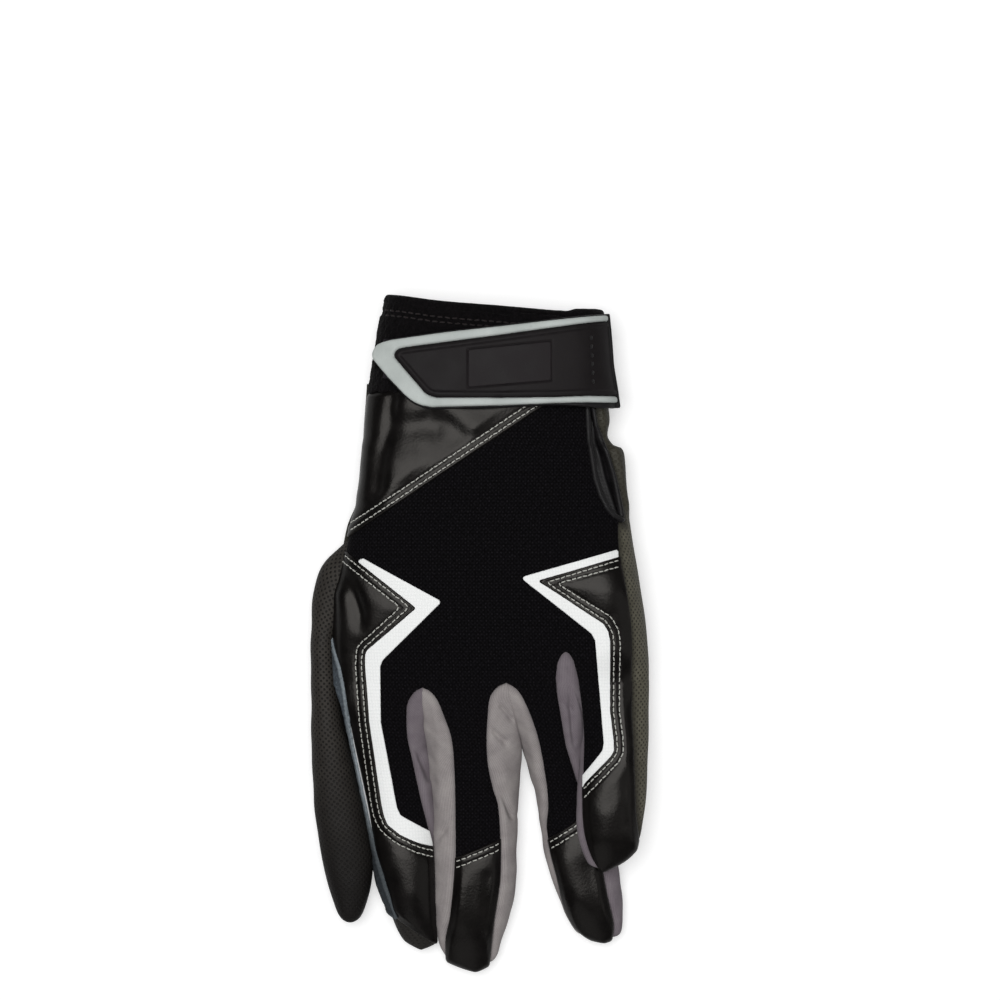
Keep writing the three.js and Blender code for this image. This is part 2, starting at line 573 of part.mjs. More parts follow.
// Meshes, moved so that the origin lies under the middle of the glove
const glove = new THREE.Group();
glove.name = "batting_glove";
const inner = new THREE.Group();
glove.add(inner);
for (const { name, body, colour, roughness } of pieces) {
  const source = body.getMesh();
  const geometry = new THREE.BufferGeometry();
  geometry.setAttribute("position", new THREE.BufferAttribute(new Float32Array(source.vertProperties), 3));
  geometry.setIndex(new THREE.BufferAttribute(new Uint32Array(source.triVerts), 1));
  geometry.computeVertexNormals();
  const material = new THREE.MeshStandardMaterial({ color: colour, roughness, metalness: 0 });
  const mesh = new THREE.Mesh(geometry, material);
  mesh.name = name;
  inner.add(mesh);
}
const bounds = new THREE.Box3().setFromObject(inner, true);
const middle = bounds.getCenter(new THREE.Vector3());
inner.position.set(-middle.x, -middle.y, -bounds.min.z);

export default glove;
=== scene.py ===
import math

import bpy
import numpy as np
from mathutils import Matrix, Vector


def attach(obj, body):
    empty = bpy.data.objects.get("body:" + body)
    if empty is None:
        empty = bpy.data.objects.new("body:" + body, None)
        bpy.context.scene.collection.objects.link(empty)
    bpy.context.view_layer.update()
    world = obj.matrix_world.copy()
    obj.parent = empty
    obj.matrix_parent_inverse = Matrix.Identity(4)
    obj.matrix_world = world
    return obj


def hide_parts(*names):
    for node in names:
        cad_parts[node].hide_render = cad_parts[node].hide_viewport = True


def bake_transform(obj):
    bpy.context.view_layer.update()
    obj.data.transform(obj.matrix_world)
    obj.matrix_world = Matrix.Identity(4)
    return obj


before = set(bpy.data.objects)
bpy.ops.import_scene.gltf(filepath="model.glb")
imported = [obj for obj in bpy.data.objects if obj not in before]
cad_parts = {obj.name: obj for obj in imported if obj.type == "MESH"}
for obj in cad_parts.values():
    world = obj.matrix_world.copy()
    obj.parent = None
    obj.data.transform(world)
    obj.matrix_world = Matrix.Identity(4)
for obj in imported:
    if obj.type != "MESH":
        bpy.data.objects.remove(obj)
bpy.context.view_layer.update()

# Plan points are millimetres from near the middle of the hand, +Y to the cuff, +X to the little finger
PLAN_TO_FRAME = np.array([0.3161, -1.2115, 0.0])
# Where the fingers begin, the height of the hand's side edges, how flat the underside is pressed, lowest skin
KNUCKLE_Y = -12.0
HAND_MID = 6.6
FLAT = 0.4
LOWEST = 0.02
# Soft unevenness: waves laid over each other, and the turn from each to the next
WAVES = 7
WAVE_TURN = 2.399
# Steps in leather fade over these distances past their ends and to their sides
STEP_END = 2.5
STEP_SIDE = 7


# Smooth runs, folds and plan outlines

def track(*stations):
    """A smooth curve through (place, value) stations."""
    rows = np.array(sorted(stations), float)
    place, value = rows[:, 0], rows[:, 1]
    i = np.arange(len(place))
    lo, hi = np.maximum(i - 1, 0), np.minimum(i + 1, len(place) - 1)
    slope = (value[hi] - value[lo]) / (place[hi] - place[lo])

    def run(p):
        p = np.clip(np.asarray(p, float), place[0], place[-1])
        k = np.clip(np.searchsorted(place, p) - 1, 0, len(place) - 2)
        span = place[k + 1] - place[k]
        t = (p - place[k]) / span
        bend = t * t * (3 - 2 * t)
        start = slope[k] * span * t * (1 - t) ** 2
        end = slope[k + 1] * span * t * t * (1 - t)
        return value[k] + (value[k + 1] - value[k]) * bend + start - end
    return run


def ease(t):
    t = np.clip(t, 0, 1)
    return t * t * (3 - 2 * t)


def mix(a, b, t):
    return a + (b - a) * t


def line_distance(xy, line):
    best = np.full(len(xy), 1e9)
    for a, b in zip(np.array(line[:-1], float), np.array(line[1:], float)):
        d = b - a
        t = np.clip(((xy - a) @ d) / (d @ d), 0, 1)
        best = np.minimum(best, np.hypot(*(xy - a - t[:, None] * d).T))
    return best


def inside(xy, outline):
    """Distance to a closed outline, positive inside it."""
    ring = np.array(list(outline) + [outline[0]], float)
    odd = np.zeros(len(xy), bool)
    for a, b in zip(ring[:-1], ring[1:]):
        if a[1] == b[1]:
            continue
        spans = (a[1] > xy[:, 1]) != (b[1] > xy[:, 1])
        odd ^= spans & (xy[:, 0] < a[0] + (xy[:, 1] - a[1]) * (b[0] - a[0]) / (b[1] - a[1]))
    far = line_distance(xy, ring)
    return np.where(odd, far, -far)


def ripple(xy, size, seed):
    """Even, repeatable unevenness about -1 to 1 over a plan, with features of the given size."""
    total = np.zeros(len(xy))
    for k in range(WAVES):
        angle = WAVE_TURN * (k + 1) + seed * 1.7
        wave = 2 * math.pi / size * (0.6 + 0.17 * k)
        along = xy[:, 0] * math.cos(angle) + xy[:, 1] * math.sin(angle)
        total += np.sin(along * wave + seed * 3.1 + k * 1.9)
    return total / 3.6


def creases(xy, folds):
    """Soft ridges and valleys along lines."""
    total = np.zeros(len(xy))
    for line, depth, width in folds:
        total += depth * np.exp(-(line_distance(xy, line) / width) ** 2)
    return total


def steps(xy, edges):
    """Slopes across short lines: the left of each line stands higher than its right."""
    total = np.zeros(len(xy))
    for a, b, height, width in edges:
        a, b = np.array(a, float), np.array(b, float)
        ahead = (b - a) / np.hypot(*(b - a))
        run = (xy - a) @ ahead
        off = (xy - a) @ np.array([-ahead[1], ahead[0]])
        past = np.maximum(0, np.maximum(-run, run - np.hypot(*(b - a))))
        total += height * np.tanh(off / width) * np.exp(-(past / STEP_END) ** 2 - (off / STEP_SIDE) ** 2)
    return total


# Hand and cuff skin: thumb edge, little finger edge, top and underside along the glove

radial = track((88, -23.7), (82, -25.7), (76.4, -26.5), (71, -27.6), (64, -28.2), (52, -29), (45, -29.3),
               (40, -29.6), (34, -30.8), (28, -33.3), (20, -34.8), (9, -36.8), (-1, -37.2), (-12, -36.2))
ulnar = track((88, 31), (75, 32.2), (62, 33), (55.5, 33.7), (51.5, 33.2), (49.6, 34.3), (47.8, 36.4),
              (45.8, 37), (36, 37.7), (28, 39.1), (19.5, 40.5), (11.3, 41.9), (3, 43.2), (-5, 43.8),
              (-12, 43.9))
hand_top = track((88, 15), (64, 16.2), (40, 17.8), (15, 18), (-12, 16))
hand_bottom = track((88, 3.3), (62, 3.3), (50, 1.2), (42, -FLAT), (-12, -FLAT))


def dome(a, power):
    """Height across a rounded section: 1 in the middle, 0 at its edges."""
    return np.clip(1 - np.abs(a) ** power, 0, 1) ** (1 / power)


def hand_dome(a, upper):
    return dome(a, np.where(upper, 2.6, 3.2))


def shoulders(x, y):
    """Fullness of the back beside the little finger's knuckle and on the thumb side of the wrist."""
    little = 0.33 * ease((x - 22) / 14) * ease((y + 12) / 9) * ease((27 - y) / 12)
    wrist = 0.18 * ease((-16 - x) / 10) * ease((y - 27) / 8) * ease((58 - y) / 14)
    return 1 + little + wrist


def span(left, right):
    """Centre and half width between two edges."""
    return (left + right) / 2, (right - left) / 2


class Skin:
    """A smooth form. u runs round each section: -1 thumb edge, 0 back, 1 little finger edge, 2 palm."""

    stride = 0.06

    def over(self, xy):
        """Rows of (y, u) on the back, over plan points."""
        centre, half = self.section(xy[:, 1])
        a = np.clip((xy[:, 0] - centre) / np.maximum(half, 0.2), -1, 1)
        return np.stack([xy[:, 1], np.arcsin(a) * 2 / math.pi], -1)


class Hand(Skin):
    """The hand with its cuff."""

    def section(self, y):
        return span(radial(y), ulnar(y))

    def points(self, y, u):
        centre, half = self.section(y)
        a = np.sin(math.pi * u / 2)
        upper = np.abs(u) <= 1
        x = centre + half * a
        rise = np.where(upper, (hand_top(y) - HAND_MID) * shoulders(x, y), hand_bottom(y) - HAND_MID)
        return np.stack([x, y, np.maximum(HAND_MID + rise * hand_dome(a, upper), LOWEST)], -1)


HAND = Hand()


def knuckle_height(x, upper):
    """Height of the hand's skin where the fingers begin."""
    centre, half = HAND.section(KNUCKLE_Y)
    a = np.clip(np.abs(x - centre) / half, 0, 1)
    rise = np.where(upper, hand_top(KNUCKLE_Y) - HAND_MID, hand_bottom(KNUCKLE_Y) - HAND_MID)
    return HAND_MID + rise * hand_dome(a, upper)


class Finger(Skin):
    """A finger narrows over cap and thins over nose on the way to its tip."""

    def __init__(self, tip, cap, nose, power, left, right, top, lift=((0, 0), (1, 0)), roll=0.0):
        self.tip, self.cap, self.nose, self.power, self.roll = tip, cap, nose, power, roll
        self.left, self.right, self.top, self.lift = track(*left), track(*right), track(*top), track(*lift)

    def fade(self, y, reach, power):
        return dome(np.clip((reach - (y - self.tip)) / reach, 0, 1), power)

    def section(self, y):
        centre, half = span(self.left(y), self.right(y))
        return centre, half * self.fade(y, self.cap, 2.2)

    def points(self, y, u):
        t = np.clip((KNUCKLE_Y - y) / (KNUCKLE_Y - self.tip), 0, 1)
        centre, half = self.section(y)
        lift = self.lift(t)
        height = self.top(t)
        mid = mix(HAND_MID, height * 0.42, ease(t / 0.3)) + lift
        swell = 0.22 + 0.78 * self.fade(y, self.nose, 1.8)
        settle = ease(t / 0.32)
        a = np.sin(math.pi * u / 2)
        upper = np.abs(u) <= 1
        x = centre + half * a
        own = np.where(upper, (lift + height - mid) * swell, -(mid - lift + FLAT) * swell)
        root = knuckle_height(x, upper) - mid
        b = dome(a, np.where(upper, self.power, self.power + 0.4))
        z = mid + mix(root, own * b, settle) - self.roll * (x - centre) * settle * np.where(upper, 1.0, 0.6)
        return np.stack([x, y, np.maximum(z, LOWEST)], -1)


VALLEY_1 = ((-12, -14.7), (-22, -14.3), (-33, -13.0), (-42.6, -12.1), (-56, -11.7), (-70, -11.3))


def past_valley(sign):
    """The index and middle fingers overlap a little along the valley between them, less at its root."""
    return [(y, x + sign * (0.1 + 0.4 * ease((-20 - y) / 12))) for y, x in VALLEY_1]


# Tip, cap, nose and roundness, both edges along the glove, height, and the little finger's lift and roll
INDEX = Finger(-82.3, 3, 17, 2.15,
               ((-12, -36.0), (-20, -33.8), (-31.5, -31.5), (-46, -28.5), (-59, -26.2), (-69, -24.3),
                (-73.5, -22.9), (-76.9, -21.6), (-79.5, -20.1), (-80.8, -19), (-82.3, -17.2)),
               past_valley(1) + [(-79, -10.9), (-81, -11.2), (-82.3, -13.4)],
               ((0, 13.4), (0.35, 11.6), (0.6, 10.6), (0.8, 9.4), (1, 7.6)))
MIDDLE = Finger(-87.7, 3, 18, 2.1,
                past_valley(-1) + [(-75, -11.4), (-80.4, -10.6), (-83.2, -9.7), (-84.9, -8.8), (-86.6, -6.2),
                                   (-87.7, -4)],
                ((-12, 6.95), (-20, 8.8), (-27, 10.4), (-33, 10.7), (-41, 10), (-56, 9.4), (-64, 9.3),
                 (-70, 8.4), (-74.8, 7.2), (-80.4, 5.3), (-83.2, 4.5), (-86, 3.1), (-87.7, 1.6)),
                ((0, 15.2), (0.35, 12.4), (0.6, 11.2), (0.75, 10.4), (1, 7.8)))
RING = Finger(-80.3, 3, 11, 2.0,
              ((-12, 6.65), (-20, 8.6), (-27, 10.3), (-33, 12), (-41, 14.4), (-50.6, 15.8), (-56, 16.6),
               (-63, 18.4), (-70, 20.7), (-74, 22.3), (-78, 24.9), (-79.6, 27.2), (-80.3, 29)),
              ((-12, 23.3), (-16, 24.9), (-20, 25.9), (-26, 26.8), (-32, 27.2), (-41, 28.8), (-50, 32.4),
               (-59, 35.6), (-68, 36.8), (-73, 37), (-76.5, 36.8), (-79, 36.2), (-80.3, 35.4)),
              ((0, 15), (0.3, 10.6), (0.5, 9.2), (0.75, 8.9), (1, 7)))
PINKY = Finger(-61.0, 2.5, 21, 2.0,
               ((-12, 23.1), (-18, 25), (-25, 25.7), (-33, 25.5), (-42, 25), (-50, 25.1), (-55, 26.2),
                (-58.9, 28), (-61, 30)),
               ((-12, 43.9), (-21, 43.9), (-30, 43.6), (-42, 43), (-48, 42.1), (-53.3, 40.9), (-57.2, 38.3),
                (-59.8, 34.8), (-61, 32.8)),
               ((0, 13.3), (0.3, 11), (0.6, 8.6), (0.8, 6.9), (1, 5.2)),
               ((0, 0), (0.3, 3.4), (0.6, 6.3), (0.8, 7.5), (1, 7.9)), -0.05)


class Thumb:
    """The thumb bends, so its y is the share of the way along its middle line. u is as on the other skins."""

    stride = -0.004
    path = np.array([(-30, 20), (-36.6, 12.5), (-40.3, 0), (-40.3, -12), (-39.7, -21), (-38.95, -28),
                     (-38, -36), (-36.8, -44), (-35.4, -52), (-34.4, -58), (-33.9, -65), (-33.4, -74.6)])
    half = staticmethod(track((0, 6.4), (0.1, 6.2), (0.235, 3.55), (0.358, 3.55), (0.45, 4.15), (0.522, 4.8),
                              (0.604, 5.5), (0.687, 6.25), (0.77, 6.6), (0.833, 6.6), (0.905, 5.6),
                              (0.956, 4.7), (1, 4.2)))
    tall = staticmethod(track((0, 9.4), (0.25, 10.2), (0.5, 10.6), (0.85, 9.8), (1, 8.8)))

    def __init__(self):
        p = np.vstack([2 * self.path[0] - self.path[1], self.path, 2 * self.path[-1] - self.path[-2]])
        line = []
        for a, b, c, d in zip(p[:-3], p[1:-2], p[2:-1], p[3:]):
            for t in np.linspace(0, 1, 40, endpoint=False):
                line.append(0.5 * (2 * b + (c - a) * t + (2 * a - 5 * b + 4 * c - d) * t ** 2
                                   + (3 * b - a - 3 * c + d) * t ** 3))
        self.line = np.array(line + [p[-2]])
        run = np.r_[0, np.cumsum(np.hypot(*np.diff(self.line, axis=0).T))]
        self.length = run[-1]
        self.share = run / run[-1]

    def centre(self, t):
        return np.stack([np.interp(t, self.share, self.line[:, k]) for k in (0, 1)], -1)

    def points(self, y, u):
        t = np.clip(y, 0, 1)
        u = np.where(u > 3, u - 4, u)
        ahead = self.centre(np.clip(t + 0.03, 0, 1)) - self.centre(np.clip(t - 0.03, 0, 1))
        ahead /= np.hypot(*ahead.T)[:, None]
        plump = dome(np.clip((t - 0.87) / 0.13, 0, 1), 2.8)
        height = self.tall(t) * (0.4 + 0.6 * plump)
        mid = self.tall(t) * 0.45
        a = np.sin(math.pi * u / 2)
        upper = np.abs(u) <= 1
        b = dome(a, np.where(upper, 2.3, 2.8))
        z = mid + np.where(upper, height * 0.55, -height * 0.45 - FLAT * plump) * b
        across = self.half(t) * plump * a
        side = np.stack([-ahead[:, 1], ahead[:, 0]], -1)
        xy = self.centre(t) + side * across[:, None]
        return np.column_stack([xy, np.maximum(z, LOWEST)])


THUMB = Thumb()


# Sheets laid on a skin: step in u for normals, nearness to a cut that counts as on it, nearness to the rim
SIDE_STEP = 0.006
ON_CUT = 0.05
ON_RIM = 0.12


def frame_of(skin, q):
    """Points and outward normals of a skin at rows of (y, u)."""
    y, u = q[:, 0], q[:, 1]
    here = skin.points(y, u)
    du = skin.points(y, u + SIDE_STEP) - skin.points(y, u - SIDE_STEP)
    dy = skin.points(y + skin.stride, u) - skin.points(y - skin.stride, u)
    n = np.cross(du, dy)
    size = np.linalg.norm(n, axis=1, keepdims=True)
    return here, n / np.maximum(size, 1e-9)


def grid(skin, rows, cols, origin):
    """Rows of (y, u, distance round the skin from the column nearest the origin), with quads between them."""
    y, u = (g.ravel() for g in np.meshgrid(rows, cols, indexing="ij"))
    p = skin.points(y, u).reshape(len(rows), len(cols), 3)
    girth = np.cumsum(np.linalg.norm(np.diff(p, axis=1), axis=2), axis=1)
    girth = np.hstack([np.zeros((len(rows), 1)), girth])
    girth -= girth[:, [np.abs(cols - origin).argmin()]]
    q = np.column_stack([y, u, girth.ravel()])
    first = (np.arange(len(rows) - 1)[:, None] * len(cols) + np.arange(len(cols) - 1)).ravel()
    quads = np.stack([first, first + 1, first + len(cols) + 1, first + len(cols)], -1)
    return q, {3: np.zeros((0, 3), int), 4: quads}


def cut(q, faces, value, drop):
    """Splits faces where value passes zero, and drops those below zero if asked."""
    value = np.where(np.abs(value) < ON_CUT, 0.0, value)
    extra, made = [], {}

    def crossing(i, j):
        key = (min(i, j), max(i, j))
        if key not in made:
            t = value[i] / (value[i] - value[j])
            extra.append(q[i] + (q[j] - q[i]) * t)
            made[key] = len(q) + len(extra) - 1
        return made[key]

    out = {3: [], 4: []}
    for size, rows in faces.items():
        if not len(rows):
            continue
        v = value[rows]
        above, below = (v >= 0).all(1), (v <= 0).all(1) & ~(v >= 0).all(1)
        out[size].append(rows[above])
        if not drop:
            out[size].append(rows[below])
        for face in rows[~above & ~below]:
            for sign in (1,) if drop else (1, -1):
                ring = []
                for i, j in zip(face, np.roll(face, -1)):
                    if value[i] * sign >= 0:
                        ring.append(i)
                    if value[i] * value[j] < 0:
                        ring.append(crossing(i, j))
                if len(ring) in out:
                    out[len(ring)].append(np.array([ring]))
                elif len(ring) > 4:
                    out[4].append(np.array([ring[:4]]))
                    for k in range(4, len(ring)):
                        out[3].append(np.array([[ring[0], ring[k - 1], ring[k]]]))
    faces = {n: np.vstack(parts) if parts else np.zeros((0, n), int) for n, parts in out.items()}
    return (np.vstack([q, extra]) if extra else q), faces


def border_edges(faces):
    """Edges that belong to one face only."""
    edges = np.vstack([np.stack([f, np.roll(f, -1, 1)], -1).reshape(-1, 2) for f in faces.values() if len(f)])
    key = np.sort(edges, 1)
    _, index, count = np.unique(key, axis=0, return_index=True, return_counts=True)
    return edges[index[count == 1]]


class Spots:
    """Places on a skin: x, y and z in plan, the skin's own run and u, and a plan that leans with height."""

    def __init__(self, p, q):
        self.p, self.q = p, q
        self.x, self.y, self.z = p.T
        self.xy = p[:, :2]
        self.lean = self.xy + p[:, [2, 2]]
        self.run, self.u = q[:, 0], q[:, 1]


class Sheet:
    """A panel on a skin. keep() gives the distance inside its edge, and lift() how far it stands off.

    The mesh is split along slices, which are distances from the edge. An open sheet has a skirt of the given
    depth at its edge, and a closed one an underside as well.
    """

    def __init__(self, skin, rows, cols, keep, lift, slices=(), depth=1.0, closed=False, origin=None):
        self.skin, self.keep, self.lift, self.depth, self.closed = skin, keep, lift, depth, closed
        q, faces = grid(skin, rows, cols, (cols[0] + cols[-1]) / 2 if origin is None else origin)
        q, faces = cut(q, faces, self.edge(q), True)
        for level in slices:
            q, faces = cut(q, faces, self.edge(q) - level, False)
        used = np.unique(np.concatenate([f.ravel() for f in faces.values()]))
        renumber = np.full(len(q), -1)
        renumber[used] = np.arange(len(used))
        self.q = q[used]
        self.faces = {n: renumber[f] for n, f in faces.items()}
        self.edges = border_edges(self.faces)

    def edge(self, q):
        return self.keep(Spots(self.skin.points(q[:, 0], q[:, 1]), q))

    def surface(self, q, extra=0.0):
        p, n = frame_of(self.skin, q)
        spots = Spots(p, q)
        return p + n * (self.lift(spots, self.keep(spots)) + extra)[:, None], n

    def mesh(self, name):
        p, n = self.surface(self.q)
        d = self.edge(self.q)
        uv = self.q[:, [2, 0]]
        polygons = [list(map(int, f)) for rows in self.faces.values() for f in rows]
        if isinstance(self.skin, Thumb):
            uv = uv * [1, -self.skin.length]
        edges = self.edges
        if not self.closed:
            edges = edges[(np.abs(d[edges]) < ON_RIM).all(1)]
        low = p - n * self.depth
        low[:, 2] = np.maximum(low[:, 2], 0.01)
        if self.closed:
            under = {i: len(p) + i for i in range(len(p))}
            polygons += [[under[i] for i in f[::-1]] for f in polygons]
            p, uv, d = np.vstack([p, low]), np.vstack([uv, uv]), np.r_[d, d]
        else:
            rim = np.unique(edges)
            under = {int(i): len(p) + k for k, i in enumerate(rim)}
            p, uv, d = np.vstack([p, low[rim]]), np.vstack([uv, uv[rim]]), np.r_[d, d[rim] - 1]
        polygons += [[int(j), int(i), under[int(i)], under[int(j)]] for i, j in edges]
        return make_mesh(name, p, polygons, uv, d)


def make_mesh(name, points, polygons, uv=None, edge=None):
    """An object of plan points, with its flat layout and its distances to the edge where it has them."""
    mesh = bpy.data.meshes.new(name)
    mesh.from_pydata(((np.asarray(points) + PLAN_TO_FRAME) / 1000).tolist(), [], polygons)
    if uv is not None:
        corner = np.empty(len(mesh.loops), np.int32)
        mesh.loops.foreach_get("vertex_index", corner)
        layer = mesh.uv_layers.new(name="Millimetres")
        layer.data.foreach_set("uv", uv[corner].astype(np.float32).ravel())
        widest = max(np.ptp(uv[:, 0]), np.ptp(uv[:, 1]), 1e-6)
        flat = (uv - uv.min(0)) / widest * 0.98 + 0.01
        layer = mesh.uv_layers.new(name="OFBake")
        layer.data.foreach_set("uv", flat[corner].astype(np.float32).ravel())
    if edge is not None:
        mesh.attributes.new("edge", "FLOAT", "POINT").data.foreach_set("value", edge.astype(np.float32))
    mesh.validate()
    mesh.polygons.foreach_set("use_smooth", [True] * len(mesh.polygons))
    thing = bpy.data.objects.new(name, mesh)
    bpy.context.scene.collection.objects.link(thing)
    return thing


# Materials

def linear(code):
    """A hex colour in the renderer's linear values."""
    parts = [int(code[i:i + 2], 16) / 255 for i in (1, 3, 5)]
    return tuple(c / 12.92 if c <= 0.04045 else ((c + 0.055) / 1.055) ** 2.4 for c in parts) + (1.0,)


class Finish:
    """A node material with the few building blocks that the finishes here share."""

    def __init__(self, name):
        self.material = bpy.data.materials.new(name)
        self.material.use_nodes = True
        self.tree = self.material.node_tree
        self.shader = self.tree.nodes["Principled BSDF"]

    def put(self, socket, value):
        if isinstance(value, bpy.types.NodeSocket):
            self.tree.links.new(value, socket)
        else:
            socket.default_value = value

    def node(self, kind, values=(), **settings):
        n = self.tree.nodes.new(kind)
        for key, value in settings.items():
            setattr(n, key, value)
        for key, value in dict(values).items():
            self.put(n.inputs[key], value)
        return n

    def set(self, **values):
        for key, value in values.items():
            self.put(self.shader.inputs[key.replace("_", " ")], value)

    def millimetres(self, turn=0.0):
        """Places on the sheet laid flat."""
        uv = self.node("ShaderNodeUVMap", uv_map="Millimetres").outputs["UV"]
        return self.node("ShaderNodeMapping", {"Vector": uv, "Rotation": (0, 0, turn)}).outputs["Vector"]

    def space(self):
        """Places in the object's own space, in millimetres."""
        place = self.node("ShaderNodeTexCoord").outputs["Object"]
        return self.node("ShaderNodeMapping", {"Vector": place, "Scale": (1000,) * 3}).outputs["Vector"]

    def noise(self, vector, scale, detail=3.0, rough=0.55):
        return self.node("ShaderNodeTexNoise", {"Vector": vector, "Scale": scale, "Detail": detail,
                                                "Roughness": rough}).outputs["Fac"]

    def cells(self, vector, scale, randomness):
        return self.node("ShaderNodeTexVoronoi", {"Vector": vector, "Scale": scale, "Randomness": randomness},
                         voronoi_dimensions="2D").outputs["Distance"]

    def wave(self, vector, scale, direction, distortion=0.0):
        return self.node("ShaderNodeTexWave", {"Vector": vector, "Scale": scale, "Distortion": distortion,
                                               "Detail": 1.0, "Detail Scale": 1.5},
                         bands_direction=direction, wave_profile="SIN").outputs["Fac"]

    def math(self, kind, a, b):
        return self.node("ShaderNodeMath", {0: a, 1: b}, operation=kind).outputs[0]

    def times(self, a, b):
        return self.math("MULTIPLY", a, b)

    def weigh(self, a, share_a, b, share_b):
        return self.math("ADD", self.times(a, share_a), self.times(b, share_b))

    def range(self, value, low, high, to_low=0.0, to_high=1.0):
        values = {"Value": value, "From Min": low, "From Max": high, "To Min": to_low, "To Max": to_high}
        return self.node("ShaderNodeMapRange", values, interpolation_type="SMOOTHSTEP").outputs["Result"]

    def spread(self, noise, low, high):
        """Takes the middle of a noise to the values from low to high."""
        return self.range(noise, 0.3, 0.7, low, high)

    def ramp(self, value, *stops):
        n = self.node("ShaderNodeValToRGB", {"Fac": value})
        ramp = n.color_ramp
        while len(ramp.elements) < len(stops):
            ramp.elements.new(0.5)
        for element, (place, colour) in zip(ramp.elements, stops):
            element.position, element.color = place, linear(colour)
        return n.outputs["Color"]

    def blend(self, share, a, b):
        n = self.node("ShaderNodeMix", {"Factor": share}, data_type="RGBA")
        for socket, value in ((n.inputs[6], a), (n.inputs[7], b)):
            self.put(socket, linear(value) if isinstance(value, str) else value)
        return n.outputs[2]

    def seam_distance(self):
        """Distance inside the sheet's edge, which each mesh carries."""
        return self.node("ShaderNodeAttribute", attribute_name="edge").outputs["Fac"]

    def bump(self, height, distance, strength, under=None):
        """Relief of the given depth in millimetres, laid over another relief if there is one."""
        values = {"Height": height, "Distance": distance / 1000, "Strength": strength}
        if under is not None:
            values["Normal"] = under
        return self.node("ShaderNodeBump", values).outputs["Normal"]


def leather_finish():
    f = Finish("satin_leather")
    place = f.space()
    mottle = f.noise(place, 0.16, 4)
    grain = f.node("ShaderNodeTexVoronoi", {"Vector": place, "Scale": 1.7, "Randomness": 1.0},
                   feature="SMOOTH_F1").outputs["Distance"]
    fine = f.noise(place, 5.0, 2)
    colour = f.ramp(mottle, (0.32, "#060505"), (0.7, "#0c0a0a"))
    colour = f.blend(f.range(grain, 0.25, 0.75, 0.0, 0.3), colour, "#110f0e")
    beside_seam = f.range(f.seam_distance(), 0.05, 0.7, 1.0, 0.0)
    worn = f.times(beside_seam, f.range(mottle, 0.35, 0.65, 0.1, 0.5))
    f.set(Base_Color=f.blend(worn, colour, "#24211f"), Roughness=f.range(mottle, 0.3, 0.75, 0.27, 0.37),
          Normal=f.bump(fine, 0.03, 0.3, f.bump(grain, 0.07, 0.4)), Specular_IOR_Level=0.215,
          Specular_Tint=linear("#fffaf4"))
    return f.material


def knit_back_finish():
    f = Finish("black_stretch_knit")
    place = f.millimetres()
    rows = f.wave(place, 0.42, "X")
    courses = f.wave(place, 0.36, "Y")
    loops = f.cells(f.millimetres(turn=math.pi / 4), 1.25, 0.25)
    mottle = f.noise(place, 0.9, 3)
    weave = f.times(rows, courses)
    depth = f.math("ADD", f.times(weave, 0.5), f.range(loops, 0.1, 0.6, 0.6, 0.0))
    tone = f.weigh(depth, 0.5, mottle, 0.6)
    f.set(Base_Color=f.ramp(tone, (0.25, "#050405"), (0.6, "#0e0d0f"), (0.85, "#1c1a1d")),
          Roughness=f.spread(mottle, 0.85, 0.97), Normal=f.bump(depth, 0.18, 0.6), Sheen_Weight=0.02,
          Sheen_Roughness=0.4, Specular_IOR_Level=0.04)
    return f.material


def stretch_finish(name, low, mid, high):
    f = Finish(name)
    place = f.millimetres()
    ribs = f.wave(place, 0.75, "X", 0.6)
    mottle = f.noise(place, 0.22, 3)
    fine = f.noise(place, 3.2, 2)
    tone = f.math("ADD", f.times(ribs, 0.22), f.weigh(mottle, 0.55, fine, 0.3))
    colour = f.ramp(tone, (0.3, low), (0.55, mid), (0.8, high))
    # Painted shade: the knit is darkened within about 2.3 mm of its edge, where it tucks under the back and
    # into its seams.
    dark = f.range(f.seam_distance(), 0.9, 2.3, 0.6, 0.0)
    f.set(Base_Color=f.blend(dark, colour, "#4f494c"), Roughness=f.spread(mottle, 0.78, 0.92),
          Normal=f.bump(ribs, 0.05, 0.4, f.bump(fine, 0.08, 0.4)), Sheen_Weight=0.06, Sheen_Roughness=0.45,
          Specular_IOR_Level=0.15)
    return f.material


